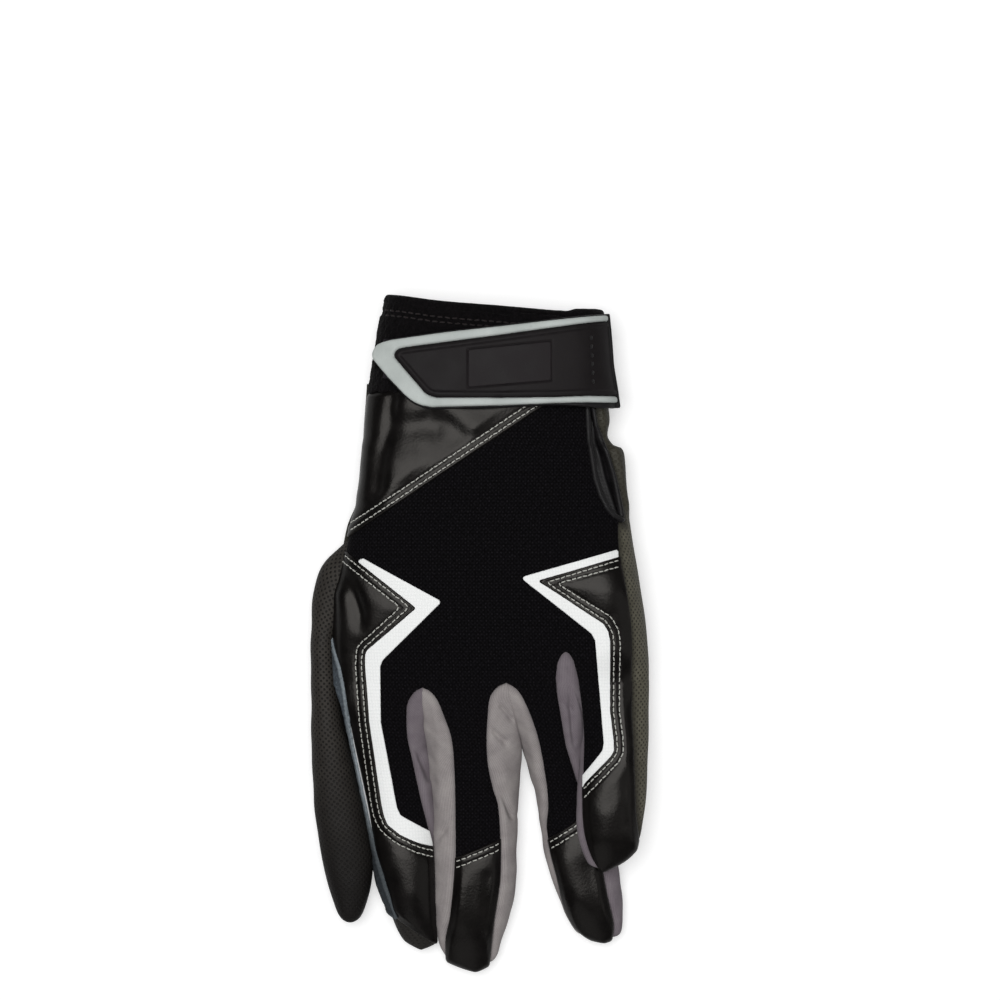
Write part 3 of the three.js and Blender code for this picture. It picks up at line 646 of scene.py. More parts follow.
def perforated_finish(name, low, high, rim_colour, hole_colour, tip=None, seam_shade_colour=None, shine=0.25):
    """Leather with rows of small holes. tip darkens it along the finger and to one side, which on the thumb
    is painted shade and painted shadow of the index finger; seam_shade_colour paints shade beside its seams
    and by the wrist slit.
    """
    f = Finish(name)
    place = f.space()
    mottle = f.noise(place, 0.2, 4)
    fine = f.noise(place, 4.0, 2)
    dots = f.cells(f.millimetres(turn=math.pi / 4), 0.95, 0.08)
    clear = f.range(f.seam_distance(), 0.35, 0.75)
    hole = f.times(f.range(dots, 0.2, 0.36, 1.0, 0.0), clear)
    colour = f.ramp(mottle, (0.3, low), (0.72, high))
    rim = f.times(f.range(dots, 0.3, 0.42, 1.0, 0.0), f.times(clear, 0.4))
    colour = f.blend(rim, colour, rim_colour)
    run = f.node("ShaderNodeSeparateXYZ", {"Vector": f.millimetres()}).outputs
    if tip:
        tip_colour, start, end, side = tip
        # On the thumb this darkening is painted shade, and the side share paints the index finger's shadow on
        # it.
        shade = f.math("MAXIMUM", f.range(run["Y"], start, end, 0.0, 0.9), f.range(run["X"], 0, 7, 0.0, side))
        colour = f.blend(shade, colour, tip_colour)
    if seam_shade_colour:
        # Painted shade beside the seams and on the palm strip by the wrist slit.
        beside_slit = f.times(f.range(run["Y"], 27, 33, 0.0, 0.65), f.range(run["X"], 2, -1))
        seam = f.math("MAXIMUM", f.range(f.seam_distance(), 0.7, 3.0, 0.85, 0.0), beside_slit)
        colour = f.blend(seam, colour, seam_shade_colour)
    f.set(Base_Color=f.blend(hole, colour, hole_colour), Roughness=f.spread(mottle, 0.52, 0.66),
          Normal=f.bump(f.math("SUBTRACT", 1.0, hole), 0.2, 0.7, f.bump(fine, 0.06, 0.4)),
          Specular_IOR_Level=shine)
    return f.material


def print_finish():
    f = Finish("white_print")
    place = f.millimetres()
    weave = f.times(f.wave(place, 0.42, "X"), f.wave(place, 0.36, "Y"))
    fine = f.noise(place, 2.4, 3)
    tone = f.weigh(weave, 0.3, fine, 0.7)
    f.set(Base_Color=f.ramp(tone, (0.2, "#e8eae9"), (0.5, "#f6f7f6")),
          Roughness=f.spread(fine, 0.5, 0.68),
          Normal=f.bump(tone, 0.08, 0.5), Specular_IOR_Level=0.4)
    return f.material


def rubber_finish(name, low, high, speckle, rough):
    f = Finish(name)
    place = f.space()
    grit = f.noise(place, 3.6, 2, 0.7)
    cloud = f.noise(place, 0.12, 3)
    colour = f.ramp(cloud, (0.35, low), (0.7, high))
    colour = f.blend(f.range(grit, 0.55, 0.75, 0.0, 0.5), colour, speckle)
    f.set(Base_Color=colour, Roughness=f.spread(cloud, rough - 0.06, rough + 0.06),
          Normal=f.bump(grit, 0.06, 0.4), Specular_IOR_Level=0.12)
    return f.material


def pile_finish(name, low, high):
    f = Finish(name)
    place = f.space()
    tuft = f.noise(place, 1.6, 4, 0.7)
    cloud = f.noise(place, 0.3, 3)
    tone = f.weigh(tuft, 0.75, cloud, 0.3)
    f.set(Base_Color=f.ramp(tone, (0.35, low), (0.75, high)), Roughness=f.spread(cloud, 0.88, 1.0),
          Normal=f.bump(tuft, 0.5, 0.8), Sheen_Weight=0.04, Sheen_Roughness=0.5, Specular_IOR_Level=0.05)
    return f.material


def hook_finish():
    f = Finish("hook_tape")
    dots = f.cells(f.millimetres(), 1.5, 0.0)
    peg = f.range(dots, 0.12, 0.34, 1.0, 0.0)
    f.set(Base_Color=f.blend(peg, "#0d0c0d", "#343135"), Roughness=0.5, Normal=f.bump(peg, 0.5, 1.0))
    return f.material


def thread_finish(name, low, high):
    f = Finish(name)
    place = f.space()
    twist = f.noise(place, 4.0, 2)
    f.set(Base_Color=f.ramp(twist, (0.3, low), (0.7, high)), Roughness=f.spread(twist, 0.6, 0.8),
          Normal=f.bump(twist, 0.1, 0.6), Sheen_Weight=0.1, Specular_IOR_Level=0.35)
    return f.material


def tape_finish():
    f = Finish("binding_tape")
    place = f.millimetres()
    ribs = f.wave(place, 0.9, "Y", 0.3)
    cloud = f.noise(place, 0.3, 3)
    f.set(Base_Color=f.ramp(cloud, (0.3, "#080708"), (0.7, "#131113")),
          Roughness=f.spread(cloud, 0.45, 0.6),
          Normal=f.bump(ribs, 0.06, 0.5), Specular_IOR_Level=0.3)
    return f.material


def raw_edge_finish():
    f = Finish("raw_seam_edge")
    place = f.space()
    fray = f.noise(place, 1.4, 4, 0.7)
    colour = f.ramp(fray, (0.3, "#31363b"), (0.5, "#444b52"), (0.75, "#626a70"))
    rim = f.range(f.seam_distance(), 0.2, 0.6, 0.9, 0.0)
    colour = f.blend(rim, colour, f.ramp(fray, (0.3, "#6b747a"), (0.7, "#939ba0")))
    run = f.node("ShaderNodeSeparateXYZ", {"Vector": f.millimetres()}).outputs["Y"]
    f.set(Base_Color=f.blend(f.range(run, -36, -58, 0.0, 0.7), colour, "#1d2124"),
          Roughness=f.spread(fray, 0.75, 0.95),
          Normal=f.bump(fray, 0.3, 0.8), Specular_IOR_Level=0.3)
    return f.material


# Looks: a material and the slot it belongs to
LEATHER = leather_finish(), "leather"
KNIT_BACK = knit_back_finish(), "fabric"
STRETCH = stretch_finish("grey_stretch_knit", "#7a7475", "#938d8c", "#a39e9b"), "stretch"
# Painted shade: a darker, more purple copy of the grey stretch knit, for the gussets that face away from the
# key lamp.
SHADED_STRETCH = stretch_finish("shaded_stretch_knit", "#5f585d", "#726a70", "#7f797c"), "stretch"
# Palm leather with painted shade beside its seams and by the wrist slit.
PERFORATED = perforated_finish("perforated_leather", "#4c493d", "#625f52", "#6b685b", "#322f27",
                               seam_shade_colour="#15130f"), "palm_leather"
INDEX_PALM = perforated_finish("index_palm_leather", "#4c493d", "#625f52", "#6b685b", "#161412",
                               ("#131112", -20, -56, 0.0)), "palm_leather"
# Painted shade: the thumb's leather is a darker copy of the palm leather, darker still towards its tip, with
# painted shadow of the index finger along its side towards the index.
THUMB_LEATHER = perforated_finish("perforated_thumb_leather", "#282522", "#373430", "#423e38", "#110f0e",
                                  ("#0c0a09", -34, -92, 0.5), shine=0.16), "palm_leather"
PRINT = print_finish(), "print"
RUBBER = rubber_finish("charcoal_rubber", "#181516", "#1e1b1c", "#272425", 0.58), "rubber"
BADGE_RUBBER = rubber_finish("charcoal_rubber_plate", "#1a1718", "#211d1f", "#2a2728", 0.54), "rubber"
BORDER = rubber_finish("pale_grey_rubber", "#b1b7b4", "#c2c8c5", "#a0a7a4", 0.6), "border"
PILE = pile_finish("brushed_loop_knit", "#030303", "#151214"), "knit"
LOOP = pile_finish("loop_tape", "#0e0d0e", "#38343a"), "knit"
HOOK = hook_finish(), "knit"
TAPE = tape_finish(), "knit"
RAW = raw_edge_finish(), "stretch"
THREAD = thread_finish("pale_thread", "#a9a9a2", "#cbcbc4"), "print"
DARK_THREAD = thread_finish("dark_thread", "#060506", "#100e10"), "knit"
HEM_THREAD = thread_finish("hem_thread", "#0d0809", "#1d1112"), "knit"


# Placing pieces

def at(x, y, z=0.0):
    """A plan point in the frame's metres."""
    return tuple((np.array([x, y, z]) + PLAN_TO_FRAME) / 1000)


# Bends: the body that stays, the body that moves, and where the change between them starts and ends
FINGER_NAMES = ("index", "middle", "ring", "pinky")
FINGER_BEND = {name: ("hand", name, at(0, KNUCKLE_Y - 0.5), at(0, -42)) for name in FINGER_NAMES}
STRAP_BEND = ("hand", "strap", at(35, 70, 9), at(33, 70, 12.2))
THUMB_BEND = ("hand", "thumb", at(-31, 19), at(-41, 7))


def dress(thing, look, place, node=None):
    """Gives a piece its material, hides the node it replaces, and rides it on its body; a piece on a bend is
    only fixed where it lies.
    """
    material, slot = look
    thing.data.materials.append(material)
    if node:
        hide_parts(node)
    if isinstance(place, str):
        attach(thing, place)
    else:
        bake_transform(thing)


def lay(name, look, place, node, *panel, **more):
    """Makes a sheet, puts it in the scene and returns it."""
    sheet = Sheet(*panel, **more)
    dress(sheet.mesh(name), look, place, node)
    return sheet


def rounded(line, radius=1.3):
    """A line with its corners turned on short arcs."""
    points = [line[0]]
    for a, b, c in zip(line[:-2], line[1:-1], line[2:]):
        back, on = a - b, c - b
        reach = min(radius, np.hypot(*back) / 2, np.hypot(*on) / 2)
        start, end = b + back / np.hypot(*back) * reach, b + on / np.hypot(*on) * reach
        points += [start * (1 - t) ** 2 + 2 * b * t * (1 - t) + end * t * t for t in np.linspace(0, 1, 6)]
    return np.array(points + [line[-1]])


# A stitch from end to end: share of its length, share of its width, and height over the sheet
STITCH = ((-0.5, 0.45, -0.22), (-0.4, 0.85, 0), (-0.2, 1, 0.1), (0, 1, 0.14), (0.2, 1, 0.1), (0.4, 0.85, 0),
          (0.5, 0.45, -0.22))
STITCH_SIDES = 7
STITCH_FLATNESS = 0.75
STITCH_STAND = 0.02


def stitch_row(name, look, place, sheet, line, width=0.32, length=1.32, pitch=1.42):
    """A row of stitches along a plan line, lying on a sheet."""
    line = rounded(np.array(line, float))
    run = np.r_[0, np.cumsum(np.hypot(*np.diff(line, axis=0).T))]
    s = np.linspace(0, run[-1], max(int(run[-1] / 0.1), 2))
    q = sheet.skin.over(np.stack([np.interp(s, run, line[:, k]) for k in (0, 1)], -1))
    p, n = sheet.surface(np.column_stack([q, np.zeros(len(q))]), STITCH_STAND)
    run = np.r_[0, np.cumsum(np.linalg.norm(np.diff(p, axis=0), axis=1))]

    def on_row(place, rows):
        place = np.clip(place, 0, run[-1])
        return np.array([np.interp(place, run, rows[:, i]) for i in range(3)])

    points, polygons = [], []
    turns = 2 * math.pi * np.arange(STITCH_SIDES) / STITCH_SIDES
    number = max(int(run[-1] / pitch), 1)
    for k in range(number):
        slant = 0.2 * math.sin(k * 2.3)
        first = len(points)
        for share, girth, rise in STITCH:
            where = np.clip((k + 0.5) * run[-1] / number + share * length, 0, run[-1])
            up = on_row(where, n)
            up /= np.linalg.norm(up)
            side = np.cross(on_row(where + 0.2, p) - on_row(where - 0.2, p), up)
            side /= max(np.linalg.norm(side), 1e-9)
            centre = on_row(where, p) + up * rise + side * slant * share
            for turn in turns:
                out = side * math.cos(turn) + up * math.sin(turn) * STITCH_FLATNESS
                points.append(centre + out * width / 2 * girth)
        rings = np.arange(first, len(points)).reshape(len(STITCH), STITCH_SIDES)
        for a, b in zip(rings[:-1], rings[1:]):
            polygons += np.stack([a, np.roll(a, -1), np.roll(b, -1), b], -1).tolist()
        polygons += [rings[0, ::-1].tolist(), rings[-1].tolist()]
    dress(make_mesh(name, np.array(points), polygons), look, place)


def both(*fields):
    return np.minimum.reduce(fields)


def either(*fields):
    return np.maximum.reduce(fields)


def rolled(d, radius, depth):
    """Drop of a folded edge: none beyond the radius, the full depth at the edge."""
    s = 1 - np.clip(d / radius, 0, 1)
    return depth * (1 - np.sqrt(np.clip(1 - s * s, 0, 1)))


def groove(d, place, depth, width):
    return depth * np.exp(-((d - place) / width) ** 2)


def beyond(s, line, sign):
    """Distance past a seam that runs along the glove, allowing for its slope."""
    slope = (line(s.y + 0.3) - line(s.y - 0.3)) / 0.6
    return sign * (s.x - line(s.y)) / np.sqrt(1 + np.minimum(slope ** 2, 9))


# Leather areas in plan: the seam first, then corners well outside the glove
WRIST_AREA = [(45, 78.1), (15.5, 58.3), (-34.1, 25.0), (-60, 7.6), (-60, 90), (45, 90)]
INDEX_AREA = [(-60, 41.6), (-34.6, 21.7), (-16.6, 7.6), (-16.3, 7.0), (-28.9, -3.8), (-29.3, -5),
              (-29.3, -7.5), (-28.3, -22.2), (-25.3, -43.6), (-24.6, -46.6), (-23.6, -48.8), (-20.5, -51.3),
              (-15.7, -53.7), (-9, -56), (-9, -100), (-60, -100)]
PINKY_AREA = [(60, 27.4), (36.1, 20.4), (15.2, 14.4), (15.1, 13.9), (31.6, 3.2), (32.8, 1.2), (33.3, -1.3),
              (33.3, -19.1), (34.3, -26.6), (34.4, -29.4), (33.7, -30.8), (21, -44.4), (21, -100), (60, -100)]
MIDDLE_AREA = [(-30, -67.3), (-6.5, -57.5), (5.2, -52.6), (30, -42.2), (30, -120), (-30, -120)]
RING_AREA = [(0, -65), (17.8, -52.9), (25, -48), (50, -31), (50, -120), (0, -120)]

# Seams of the palm leather and the wrist slit
SLIT_BACK = [(27.6, 70), (27.6, 60.6), (28.1, 50.3), (29.7, 40.2), (31.1, 36), (32.8, 32.8), (34.6, 30.8),
             (36.6, 29.7)]
SLIT_PALM = [(28.6, 70), (28.8, 60.6), (30, 54), (31.6, 49.8), (33.1, 45.9), (34.7, 40.9), (36.2, 34.3),
             (36.8, 30.7)]
slit_back_x = track(*[(y, x) for x, y in SLIT_BACK])
slit_palm_x = track(*[(y, x) for x, y in SLIT_PALM])
ulnar_seam = track((31, 36.6), (29.2, 35.6), (22.4, 35.6), (12.1, 36.6), (1.8, 38.2), (-12.1, 38.7),
                   (-28.9, 39.5), (-42.6, 40), (-47, 40.3), (-52, 41), (-62, 42))

# Grey gussets between the fingers: the line where each finger's back ends
leaf_1_index = track((-13.2, -14.7), (-13.9, -16.1), (-15.2, -17.4), (-17.3, -18.5), (-19.9, -18.8),
                     (-26.1, -18.6), (-31.2, -17.5), (-42.6, -15), (-50.3, -13), (-56, -11.9), (-82, -10.9))
leaf_1_middle = track((-13.2, -14.7), (-13.9, -13.2), (-15, -12), (-16.8, -10.8), (-20.4, -9.4),
                      (-26.1, -7.5), (-34.1, -6.7), (-42.6, -6.5), (-60.1, -6.5), (-73, -7.7),
                      (-79, -8.9), (-87, -8.9))
leaf_2_middle = track((-12, 6.6), (-12.6, 5.2), (-13.8, 3.8), (-16, 2.6), (-20.4, 2.1), (-27.1, 1.8),
                      (-33.5, 2.2), (-39.5, 3.5), (-43.6, 4.8), (-50.3, 5.4), (-56.8, 5.4), (-63.2, 5.2),
                      (-74.3, 3.7), (-87, 2.4))
leaf_2_ring = track((-12, 6.9), (-12.6, 8.1), (-13.8, 9.6), (-16, 11), (-20.4, 12.9), (-27.1, 15),
                    (-37.4, 16.9), (-44.6, 17.4), (-49.8, 17), (-55.5, 17.9), (-63.2, 19.9), (-71, 21.7),
                    (-76.4, 24.5), (-80, 28.6))
leaf_3_ring = track((-11, 19.5), (-14, 19.7), (-18.1, 20.4), (-28.1, 22.2), (-33, 23.7), (-40, 26),
                    (-50, 29.5), (-62, 31.9), (-67.5, 32.9), (-72, 34), (-75.5, 34.7), (-80, 34.4))
leaf_3_pinky = track((-11, 25.4), (-18.8, 26.1), (-25.5, 26.5), (-33, 26.4), (-42.3, 26.3), (-50.6, 26.9),
                     (-56.5, 28.6), (-60.4, 30.8), (-62, 32))
LEAF_3 = [(21.9, -4), (20.9, -4.9), (19.9, -7), (19.5, -10.8), (19.7, -14), (20.4, -18.1), (22.2, -28.1),
          (23.7, -33), (25.1, -39), (25.9, -39), (25.8, -25.5), (26, -18.8), (25.4, -11.4), (24.1, -6.5),
          (23, -4.6)]


# Back of the hand: distances from the edge at which leather is split
SEAM_SLICES = (0.18, 0.45, 0.85, 1.3, 1.9, 2.5, 3.2)
# Leather seams: places of the stitch rows, depth and width of their grooves, radius and drop of the edge,
# how far the leather stands off, and how far the knit runs under it
SEAM_ROWS = (0.9, 2.4)
SEAM_GROOVE = (0.2, 0.42)
FOLDED_EDGE = (0.5, 0.55)
LEATHER_STAND = 0.7
UNDERLAP = 2.2
# Millimetres to one unit of u round the hand, about
HAND_GIRTH = 22
# Where the back ends under the strap, and the radius and drop of the knit's hem
BACK_TOP = 64.6
KNIT_HEM = (0.7, 0.6)
back_rows = np.arange(KNUCKLE_Y, 65.2, 0.6)
back_cols = np.linspace(-1.06, 1.02, 176)


def leather_lift(s, area, folds, slopes=(), seed=1, reach=6):
    """Leather laid over its neighbour, with a folded edge, two sunk rows of stitching and soft unevenness."""
    d = inside(s.xy, area)
    rows = sum(groove(d, place, *SEAM_GROOVE) for place in SEAM_ROWS)
    soft = ease((d - 2.5) / reach)
    puff = 0.3 * ease((d - 2.2) / 3.2)
    uneven = 0.16 * ripple(s.xy, 17, seed) + creases(s.xy, folds) + steps(s.xy, slopes)
    return LEATHER_STAND - rolled(d, *FOLDED_EDGE) - rows + puff + soft * uneven


def knit_uneven(s):
    return 0.1 * ripple(s.xy, 24, 4)


def back_limit(s):
    right = np.where(s.y > SLIT_BACK[-1][1], slit_back_x(s.y), ulnar_seam(s.y))
    return both((s.u + 1.05) * HAND_GIRTH, right - s.x, BACK_TOP - s.y)


def back_keep(s):
    under = [UNDERLAP - inside(s.xy, area) for area in (WRIST_AREA, INDEX_AREA, PINKY_AREA)]
    return both(*under, back_limit(s), -inside(s.xy, LEAF_3))


def back_lift(s, d):
    leaf = inside(s.xy, LEAF_3)
    return knit_uneven(s) - np.where(leaf > -3, rolled(-leaf, *KNIT_HEM), 0)


lay("back_panel_knit", KNIT_BACK, "hand", "back_panel", HAND, back_rows, back_cols,
    back_keep, back_lift, (0.3, 0.7))


def leather_panel(node, area, rows, cols, folds, slopes, seed, reach=6):
    def keep(s):
        return both(inside(s.xy, area), back_limit(s))

    def lift(s, d):
        under_strap = 0.9 * ease((s.y - 61.2) / 2)
        return leather_lift(s, area, folds, slopes, seed, reach) - under_strap

    return lay(f"{node}_leather", LEATHER, "hand", node, HAND, rows, cols, keep, lift, SEAM_SLICES)


# Folds: a line in plan, its height and its width. Steps: the ends of a line, its height and its width
WRIST_FOLDS = [
    ([(-21.8, 60.5), (-23.2, 53), (-25, 46), (-25.9, 37)], -0.95, 2.0),
    ([(-28.4, 48), (-28.6, 42), (-29.2, 36)], 0.6, 2.8),
    ([(-16, 49), (-19.5, 38)], 0.45, 5.5),
]
WRIST_STEPS = [
    ((-10.6, 58.4), (-2, 51), 0.8, 2.2),
    ((-20, 56), (-11.5, 55.6), 1.2, 3.4),
]
INDEX_FOLDS = [
    ([(-33.2, 17), (-31.4, 9), (-29.4, 1)], -1.15, 1.9),
    ([(-35, 10), (-33.8, -4), (-32.4, -18)], 0.6, 2.2),
    ([(-25, 9), (-22, 6.5)], 0.25, 4.0),
    ([(-22, -58), (-18, -66)], 0.35, 3.5),
    ([(-27, -58), (-24.6, -66), (-22.6, -73)], -0.45, 1.5),
]
PINKY_FOLDS = [
    ([(34.6, 17), (36, 6)], 0.5, 5.0),
    ([(32, -46), (33, -56)], 0.3, 3.0),
    ([(37.5, -34), (37.2, -48)], -0.22, 1.4),
]
wrist = leather_panel("wrist_panel", WRIST_AREA, back_rows, back_cols, WRIST_FOLDS, WRIST_STEPS, 2, 3)
index_side = leather_panel("index_side_panel", INDEX_AREA, back_rows[back_rows < 40], back_cols[:100],
                           INDEX_FOLDS, (), 3)
pinky_side = leather_panel("pinky_side_panel", PINKY_AREA, back_rows[back_rows < 32], back_cols[88:],
                           PINKY_FOLDS, (), 5)

# Printed borders beside the leather: the outer line first, then corners under the leather
INDEX_PRINT = [(-30.9, 19.5), (-29.8, 19.8), (-10.2, 9.2), (-10.0, 8.5), (-25, -6.4), (-25.5, -8),
               (-25.4, -22.2), (-21.8, -42), (-21.3, -44.6), (-20.4, -46.4), (-12.5, -51), (-11.5, -55),
               (-20.5, -52.3), (-24, -50), (-27, -43), (-30, -22), (-31, -5), (-18, 7.3), (-31.4, 18.4)]
PINKY_PRINT = [(36.6, 22.5), (11.2, 15.3), (10.9, 14.6), (28.6, 0.6), (29.5, -1.2), (31.2, -20.1),
               (31.8, -27.6), (31.4, -29.6), (25.2, -37.6), (25.2, -42), (36, -30), (35, -1), (34, 3.2),
               (17, 14), (36.6, 20)]
PRINT_UNDERLAP = 0.4
print_rows = back_rows[back_rows < 30]


def print_border(name, place, node, skin, rows, cols, area, leather, limit):
    def keep(s):
        return both(inside(s.xy, area), PRINT_UNDERLAP - inside(s.xy, leather), limit(s))

    def lift(s, d):
        return 0.24 + knit_uneven(s) - rolled(d, 0.22, 0.2)

    lay(name, PRINT, place, node, skin, rows, cols, keep, lift, (0.12, 0.3), 0.3)


def index_print_limit(s):
    return (s.u + 0.97) * HAND_GIRTH


def pinky_print_limit(s):
    return back_limit(s) - 0.2


print_border("index_side_print_border", "hand", "index_side_print", HAND, print_rows, back_cols[:120],
             INDEX_PRINT, INDEX_AREA, index_print_limit)
print_border("pinky_side_print_border", "hand", "pinky_side_print", HAND, print_rows, back_cols[80:],
             PINKY_PRINT, PINKY_AREA, pinky_print_limit)


# Palm, carried up over the little finger edge
def seam_round(line, ys):
    """A seam in plan as places round the hand."""
    return track(*zip(ys, HAND.over(np.stack([line(ys), ys], -1))[:, 1]))


PALM_GIRTH = 26
PALM_BAND_TOP = 29.3
PALM_TOP = 65
palm_seam = seam_round(ulnar_seam, np.arange(-12, 29.6, 1.5))
slit_palm_seam = seam_round(slit_palm_x, np.arange(29.8, 66, 1.5))


def palm_keep(s):
    beside_slit = (s.u - slit_palm_seam(s.y)) * PALM_GIRTH
    band = both((s.u - palm_seam(s.y) + 0.035) * PALM_GIRTH, PALM_BAND_TOP - s.y)
    return both(either(beside_slit, band), (3.02 - s.u) * HAND_GIRTH, PALM_TOP - s.y)


def palm_lift(s, d):
    flap = np.where(s.u < 1.4, 0.75 * ease((49.2 - s.y) / 1.4) * ease((s.y - PALM_BAND_TOP) / 5), 0)
    edge = np.where(s.u < 1, rolled(d, 0.9, 0.5), 0)
    fold = np.where(s.y > PALM_BAND_TOP, groove(d, 1.6, 1.5, 1.0) * ease((s.y - 31) / 4), 0)
    return -0.15 + flap - edge - fold + 0.1 * ripple(s.xy, 20, 8) * (s.z > 2)


lay("palm_panel_leather", PERFORATED, "hand", "palm_panel", HAND, back_rows, np.linspace(0.3, 3.04, 200),
    palm_keep, palm_lift, (0.3, 0.8), origin=1.0)

# Slit at the wrist: tape along each edge and a folded gusset behind
SLIT_FOLD = [(28.9, 64), (30, 50), (32.6, 40), (35.8, 31)]
slit_rows = np.arange(28, 64, 0.45)
slit_cols = np.linspace(0.4, 1.02, 90)


def slit_tape(node, line, half, rise, slices):
    def keep(s):
        return both(half - line_distance(s.xy, line), 63 - s.y)

    def lift(s, d):
        return rise - rolled(d, 0.85, 0.9)

    lay(f"{node}_edge", TAPE, "hand", node, HAND, slit_rows, slit_cols, keep, lift, slices, 0.9)


def slit_gusset_keep(s):
    return both(s.x - slit_back_x(s.y) + 2, slit_palm_x(s.y) + 1.6 - s.x, PALM_TOP - s.y)


def slit_gusset_lift(s, d):
    return -1.5 + groove(line_distance(s.xy, SLIT_FOLD), 0, 0.8, 0.7)


slit_tape("slit_tape_back", SLIT_BACK[1:], 0.75, 0.6, (0.2, 0.5))
slit_tape("slit_tape_palm", SLIT_PALM[1:], 0.55, 0.5, (0.2, 0.45))
lay("slit_gusset_fold", TAPE, "hand", "slit_gusset", HAND, slit_rows, slit_cols,
    slit_gusset_keep, slit_gusset_lift, (), 0.4)

# Cuff
CUFF_GIRTH = 20
HEM_WIDTH = 2.6
UNDER_HEM = HEM_WIDTH - 1.0
cuff_rows = np.arange(61.6, 89.0, 0.5)
cuff_top = track((-60, 91.7), (-24, 88.0), (-10.3, 86), (5.2, 84.7), (22.2, 83.4), (25, 84), (60, 84.3))


def cuff_drop(s):
    return cuff_top(s.x) - s.y


def cuff_back_keep(s):
    ragged = s.y - 62.6 - 0.35 * np.sin(s.x * 2.1)
    return both(cuff_drop(s) - UNDER_HEM, (s.u + 1.02) * CUFF_GIRTH, (1.02 - s.u) * CUFF_GIRTH, ragged)


def cuff_palm_keep(s):
    return both(cuff_drop(s) - UNDER_HEM, (s.u - 1.0) * CUFF_GIRTH, (3.0 - s.u) * CUFF_GIRTH, s.y - 63)


def cuff_lift(s, d):
    """Brushed pile, filled out at its lower edge and under the strap."""
    low = 0.45 * ease((67 - s.y) / 4)
    under_strap = ease((s.x - 7) / 5) * ease((23 - s.x) / 6) * ease((s.y - 66) / 3) * ease((s.z - 10) / 2)
    pile = 0.14 * ripple(s.lean, 1.5, 6) + 0.22 * ripple(s.xy, 14, 7)
    return 0.3 + low + 1.5 * under_strap + pile - groove(cuff_drop(s), 4.9, 0.35, 0.7)


def hem_keep(s):
    return both(cuff_drop(s), HEM_WIDTH - cuff_drop(s))


def hem_lift(s, d):
    return 0.7 - rolled(d, 1.25, 1.0) + 0.12 * ripple(s.lean, 1.6, 9)


cuff_back = lay("cuff_back_band", PILE, "hand", "cuff_back", HAND, cuff_rows, np.linspace(-1.06, 1.06, 210),
                cuff_back_keep, cuff_lift, (), 1.8, True)
lay("cuff_palm_band", PILE, "hand", "cuff_palm", HAND, cuff_rows, np.linspace(0.96, 3.04, 170),
    cuff_palm_keep, cuff_lift, (), 1.8, True)
lay("cuff_hem_band", PILE, "hand", "cuff_hem", HAND, np.arange(79, 89.6, 0.45), np.linspace(-1, 3, 330),
    hem_keep, hem_lift, (0.25, 0.6), 2.6, True)

# Strap: outlines in plan of its upper side
STRAP = [(45, 83.8), (31.6, 82.2), (18.6, 80.7), (5.2, 79.1), (-7.8, 77.7), (-17.8, 76.4), (-22.6, 75.8),
         (-24.8, 75.3), (-26.1, 74.8), (-26.9, 74.1), (-27.5, 73), (-27.7, 72), (-27.5, 71), (-26.8, 70.1),
         (-23.7, 66.4), (-19.1, 61.6), (-17.8, 60.5), (-16.4, 59.6), (-14.6, 58.9), (-12.3, 58.5),
         (5.2, 58.9), (18.6, 59.5), (27.9, 59.8), (45, 59.8)]
STRAP_INNER = [(45, 82.6), (32.4, 80.9), (18.6, 78.9), (5.2, 77), (-7.8, 75.3), (-19.1, 73.9), (-20.6, 73.6),
               (-21.5, 73), (-22, 72.1), (-21.9, 71.2), (-17.8, 66.4), (-14.6, 62.7), (-13.7, 61.8),
               (-12.6, 61.2), (-11, 60.8), (5.2, 60.7), (18.6, 60.9), (27.9, 61.3), (45, 61.3)]
BADGE = [(-3, 73.2), (18.4, 75.4), (18.4, 65.2), (-3, 63.4)]
HOOKS = [(-23.4, 72.4), (-16.6, 64.4), (2, 63.6), (2, 75.6), (-18, 74)]
LOOPS = [(-24.4, 66), (12, 65.4), (12, 78), (-24.4, 76)]
ANCHOR = [(8, 60.4), (60, 60.4), (60, 82.4), (8, 80)]
# Heights over the hand: where outlines are measured, then the strap's layers
STRAP_STAND = 3.8
BASE_TOP = 3.0
BORDER_TOP = 4.25
FACE_TOP = 4.05
BADGE_TOP = 3.86
strap_rows = np.arange(57, 86, 0.4)
strap_cols = np.linspace(-1.0, 1.12, 230)


def strap_level(u):
    """The strap stands full height over the back and lies closer at the little finger edge."""
    return mix(1.0, 0.52, ease((u - 0.5) / 0.5))


class Standing(Hand):
    """The hand's skin, entered by plan points of the strap that stands off it."""

    def above(self, p, q):
        """Plan points of the strap's upper side."""
        _, n = frame_of(self, q)
        return (p + n * STRAP_STAND * strap_level(q[:, 1])[:, None])[:, :2]

    def over(self, xy):
        guess = np.array(xy, float)
        for _ in range(6):
            q = super().over(guess)
            guess += (xy - self.above(self.points(q[:, 0], q[:, 1]), q)) * 0.8
        return super().over(guess)


STRAP_SKIN = Standing()


def from_outlines(s, *outlines):
    """Distances inside outlines that are drawn on the strap's upper side."""
    xy = STRAP_SKIN.above(s.p, s.q)
    return [inside(xy, outline) for outline in outlines]


def flare(s):
    """The strap's end stands out a little more towards the fingers."""
    return 0.8 * ease((71 - s.y) / 10) * ease((s.u - 0.6) / 0.35)


def strap_end(s, height):
    """Distance above the height at which a layer ends, on the little finger edge."""
    return (s.z - height) * 1.2


def base_keep(s):
    xy = STRAP_SKIN.above(s.p, s.q)
    margin = 0.45 + 0.9 * ease((xy[:, 0] - 18) / 15) * ease((72 - xy[:, 1]) / 6)
    return both(inside(xy, STRAP) + margin, strap_end(s, 8.75))


def border_keep(s):
    outer, inner = from_outlines(s, STRAP, STRAP_INNER)
    return both(outer, 0.1 - inner, strap_end(s, 9.7))


